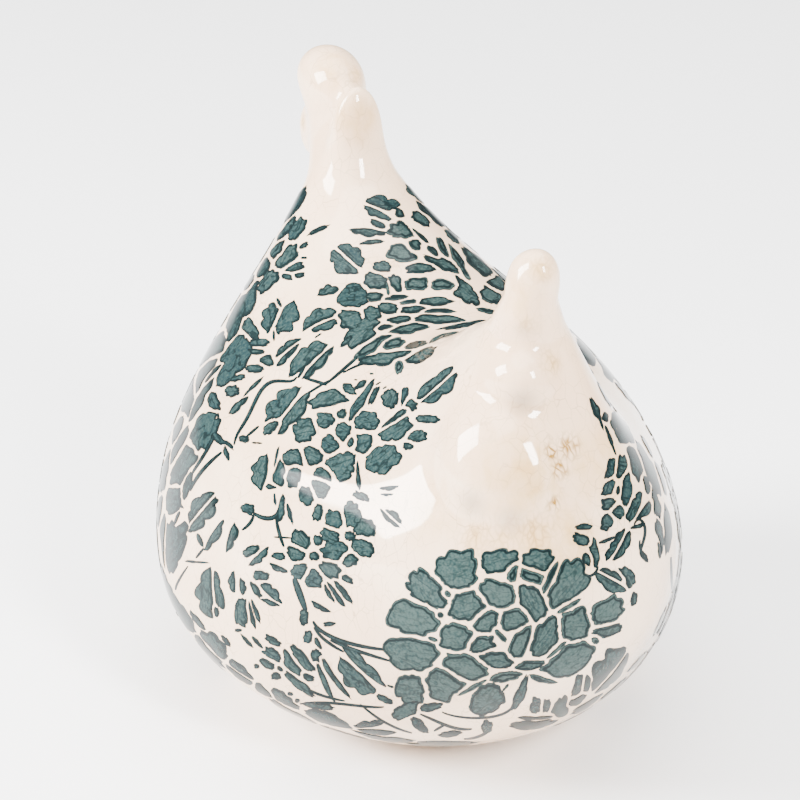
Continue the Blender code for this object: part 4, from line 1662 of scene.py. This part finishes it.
@dataclass(frozen=True)
class PrintFinish:
    """Teal transfer print under the same clear glaze.

    The eye sees a wavy dark line along each shape's edge, which runs a little inside it in the
    paler petals, a pebbled wash within, dark folds along each petal, and the glaze's own clear
    reflections over all. The folds are lines of equal height of a stretched noise. Widths that are
    compared with the gap to the edge are in millimetres, as that attribute is.
    """

    outline: str = "#101A1B"
    deep: str = "#17272A"
    wash: str = "#273736"
    pale: str = "#384643"
    line_half_width: float = 0.24
    line_wave: float = 1.3
    line_insets: tuple[float, float] = (0.9, 1.6)
    rim_span: tuple[float, float] = (0.15, 0.45)
    rim_share: float = 0.75
    pebble: float = 0.8 * MILLIMETRE
    mottle: float = 1.1111 * MILLIMETRE
    waver: float = 2.381 * MILLIMETRE
    folds_per_metre: tuple[float, float, float] = (150.0, 420.0, 1.0)
    fold_line: tuple[float, float] = (0.014, 0.05)
    fold_shares: tuple[float, float] = (0.9, 0.3)
    pebble_share: float = -0.5
    tone_share: float = 0.55
    roughness: float = 0.06
    ior: float = 1.5
    specular: float = 0.06

    def build(self) -> bpy.types.Material:
        """Makes the material."""
        material, tree, shader = new_material("teal_transfer_print")
        place = add_node(tree, "TexCoord", (), "Object")
        gap = add_node(tree, "Attribute", (), "Fac", attribute_name="edge_gap")
        tone = add_node(tree, "Attribute", (), "Fac", attribute_name="tone")
        grain = add_node(tree, "Attribute", (), "Vector", attribute_name="grain")
        mottle = add_node(tree, "TexNoise", {"Vector": place, "Scale": 1.0 / self.mottle, "Detail": 3.0})
        pebbles = add_node(tree, "TexVoronoi", {"Vector": place, "Scale": 1.0 / self.pebble})
        level = add_node(tree, "Math", (pebbles, self.pebble_share, mottle), operation="MULTIPLY_ADD")
        level = add_node(tree, "Math", (tone, self.tone_share, level), operation="MULTIPLY_ADD")
        washes = ((0.1, self.deep), (0.45, self.wash), (0.85, self.pale))
        fill = add_node(tree, "ValToRGB", (level,), stops=washes)
        combed = add_node(tree, "VectorMath", (grain, self.folds_per_metre), operation="MULTIPLY")
        folds = {"Vector": combed, "Scale": 1.0, "Detail": 2.0, "Distortion": 0.6}
        folds = add_node(tree, "TexNoise", folds)
        folds = add_node(tree, "Math", (folds, 0.5), operation="SUBTRACT")
        folds = add_node(tree, "Math", (folds,), operation="ABSOLUTE")
        folds = add_node(tree, "MapRange", (folds, *self.fold_line, 1.0, 0.0))
        fold_share = add_node(tree, "MapRange", (tone, 0.3, 0.9, *self.fold_shares))
        folds = add_node(tree, "Math", (folds, fold_share), operation="MULTIPLY")
        waver = add_node(tree, "TexNoise", {"Vector": place, "Scale": 1.0 / self.waver, "Detail": 3.0})
        wavy_gap = add_node(tree, "Math", (waver, self.line_wave, gap), operation="MULTIPLY_ADD")
        line_place = add_node(tree, "MapRange", (tone, 0.3, 0.8, *self.line_insets))
        line = add_node(tree, "Math", (wavy_gap, line_place), operation="SUBTRACT")
        line = add_node(tree, "Math", (line,), operation="ABSOLUTE")
        line = add_node(tree, "MapRange", (line, self.line_half_width, 2.0 * self.line_half_width, 1.0, 0.0))
        rim = add_node(tree, "MapRange", (gap, *self.rim_span, self.rim_share, 0.0))
        dark = add_node(tree, "Math", (line, rim), operation="MAXIMUM")
        dark = add_node(tree, "Math", (dark, folds), operation="MAXIMUM")
        colour = add_node(tree, "Mix", {0: dark, 6: fill, 7: linear(self.outline)}, 2, data_type="RGBA")
        tree.links.new(colour, shader.inputs["Base Color"])
        shader.inputs["Roughness"].default_value = self.roughness
        shader.inputs["IOR"].default_value = self.ior
        shader.inputs["Specular IOR Level"].default_value = self.specular
        return material


@dataclass(frozen=True)
class Lamp:
    """A rectangular light that faces the hen.

    Its azimuth is in degrees round from -Y towards +X, its elevation in degrees up, its power in
    watts, and its roll in degrees about its own middle.
    """

    name: str
    azimuth: float
    elevation: float
    size: tuple[float, float]
    power: float
    roll: float = 0.0


@dataclass(frozen=True)
class Studio:
    """A pale floor, a softbox at the hen's left, a tall window light behind, a ceiling and soft fill."""

    aim: tuple[float, float, float] = (0.0, 0.01, 0.11)
    distance: float = 1.5
    lamps: tuple[Lamp, ...] = (
        Lamp("softbox", 76.0, 27.0, (0.86, 0.62), 118.0, roll=56.0),
        Lamp("window", 190.0, 33.0, (0.26, 0.56), 50.0),
        Lamp("card", 238.0, 30.0, (1.5, 1.2), 13.0),
        Lamp("ceiling", 0.0, 90.0, (1.8, 1.8), 78.0),
    )
    fill: float = 0.24
    floor_side: float = 12.0
    floor_shade: str = "#F8F8F8"
    floor_colour: str = "#FAFAFA"
    floor_tooth: float = 333.333 * MILLIMETRE
    floor_roughness: float = 0.85

    def hang(self, lamp: Lamp) -> None:
        """Hangs one light, turned about its own middle by its roll."""
        place, back, right, up = viewpoint(lamp.azimuth, lamp.elevation, self.aim, self.distance)
        data = bpy.data.lights.new(lamp.name, "AREA")
        data.shape = "RECTANGLE"
        data.size, data.size_y = lamp.size
        data.energy = lamp.power
        cosine = math.cos(math.radians(lamp.roll))
        sine = math.sin(math.radians(lamp.roll))
        put(data, place, back, cosine * right + sine * up, cosine * up - sine * right)

    def floor(self) -> None:
        """Lays the pale floor: matt painted board."""
        corners = np.array(((-0.5, -0.5, 0.0), (0.5, -0.5, 0.0), (0.5, 0.5, 0.0), (-0.5, 0.5, 0.0)))
        item = mesh_object("floor", self.floor_side * corners, [(0, 1, 2, 3)])
        material, tree, shader = new_material("pale_floor")
        place = add_node(tree, "TexCoord", (), "Object")
        tooth = add_node(tree, "TexNoise", {"Vector": place, "Scale": 1.0 / self.floor_tooth, "Detail": 2.0})
        paints = ((0.3, self.floor_shade), (0.7, self.floor_colour))
        colour = add_node(tree, "ValToRGB", (tooth,), stops=paints)
        tree.links.new(colour, shader.inputs["Base Color"])
        shader.inputs["Roughness"].default_value = self.floor_roughness
        item.data.materials.append(material)

    def build(self) -> None:
        """Sets up the floor, the lights and the fill."""
        self.floor()
        for lamp in self.lamps:
            self.hang(lamp)
        world = bpy.data.worlds.new("soft_fill")
        world.use_nodes = True
        background = world.node_tree.nodes["Background"]
        background.inputs["Color"].default_value = (1.0, 1.0, 1.0, 1.0)
        background.inputs["Strength"].default_value = self.fill
        bpy.context.scene.world = world


def fit_out(piece: bpy.types.Object, material: bpy.types.Material) -> None:
    """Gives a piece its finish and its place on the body.

    Args:
        piece: The new piece.
        material: Its finish.
    """
    piece.data.materials.clear()
    piece.data.materials.append(material)
    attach(piece, "root")
    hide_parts("hen")
    LOG.info("%s: %d faces", piece.name, len(piece.data.polygons))


def main() -> None:
    """Loads the frame, builds the hen's glazed body and its print, and sets up the studio."""
    logging.basicConfig(level=logging.INFO, format="%(name)s: %(message)s")
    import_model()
    camera = PhotoCamera()
    camera.build()
    form = HenForm()
    body = GlazedBody(form).build()
    fit_out(body, GlazeFinish().build(stain_spots(form, camera)))
    flowers = FlowerPrint(form, camera)
    seen = [
        flowers.lay(motifs, FIRST_SEED + order, most, tones)
        for order, (motifs, most, tones) in enumerate(PRINT_GROUPS)
    ]
    stems = flowers.lay_stems(LOW_STEMS + FLANK_STEMS + RIGHT_STEMS)
    far = flowers.far_side(seen)
    breast = flowers.breast(seen, far)
    far_stems = stems.mirrored()
    far_stems = far_stems.pick(flowers.hidden(far_stems))
    finish = PrintFinish().build()
    fit_out(flowers.build("print_seen_side", [*seen, stems]), finish)
    fit_out(flowers.build("print_far_side", [*far, far_stems]), finish)
    fit_out(flowers.build("print_breast", breast), finish)
    Studio().build()


if __name__ == "__main__":
    main()
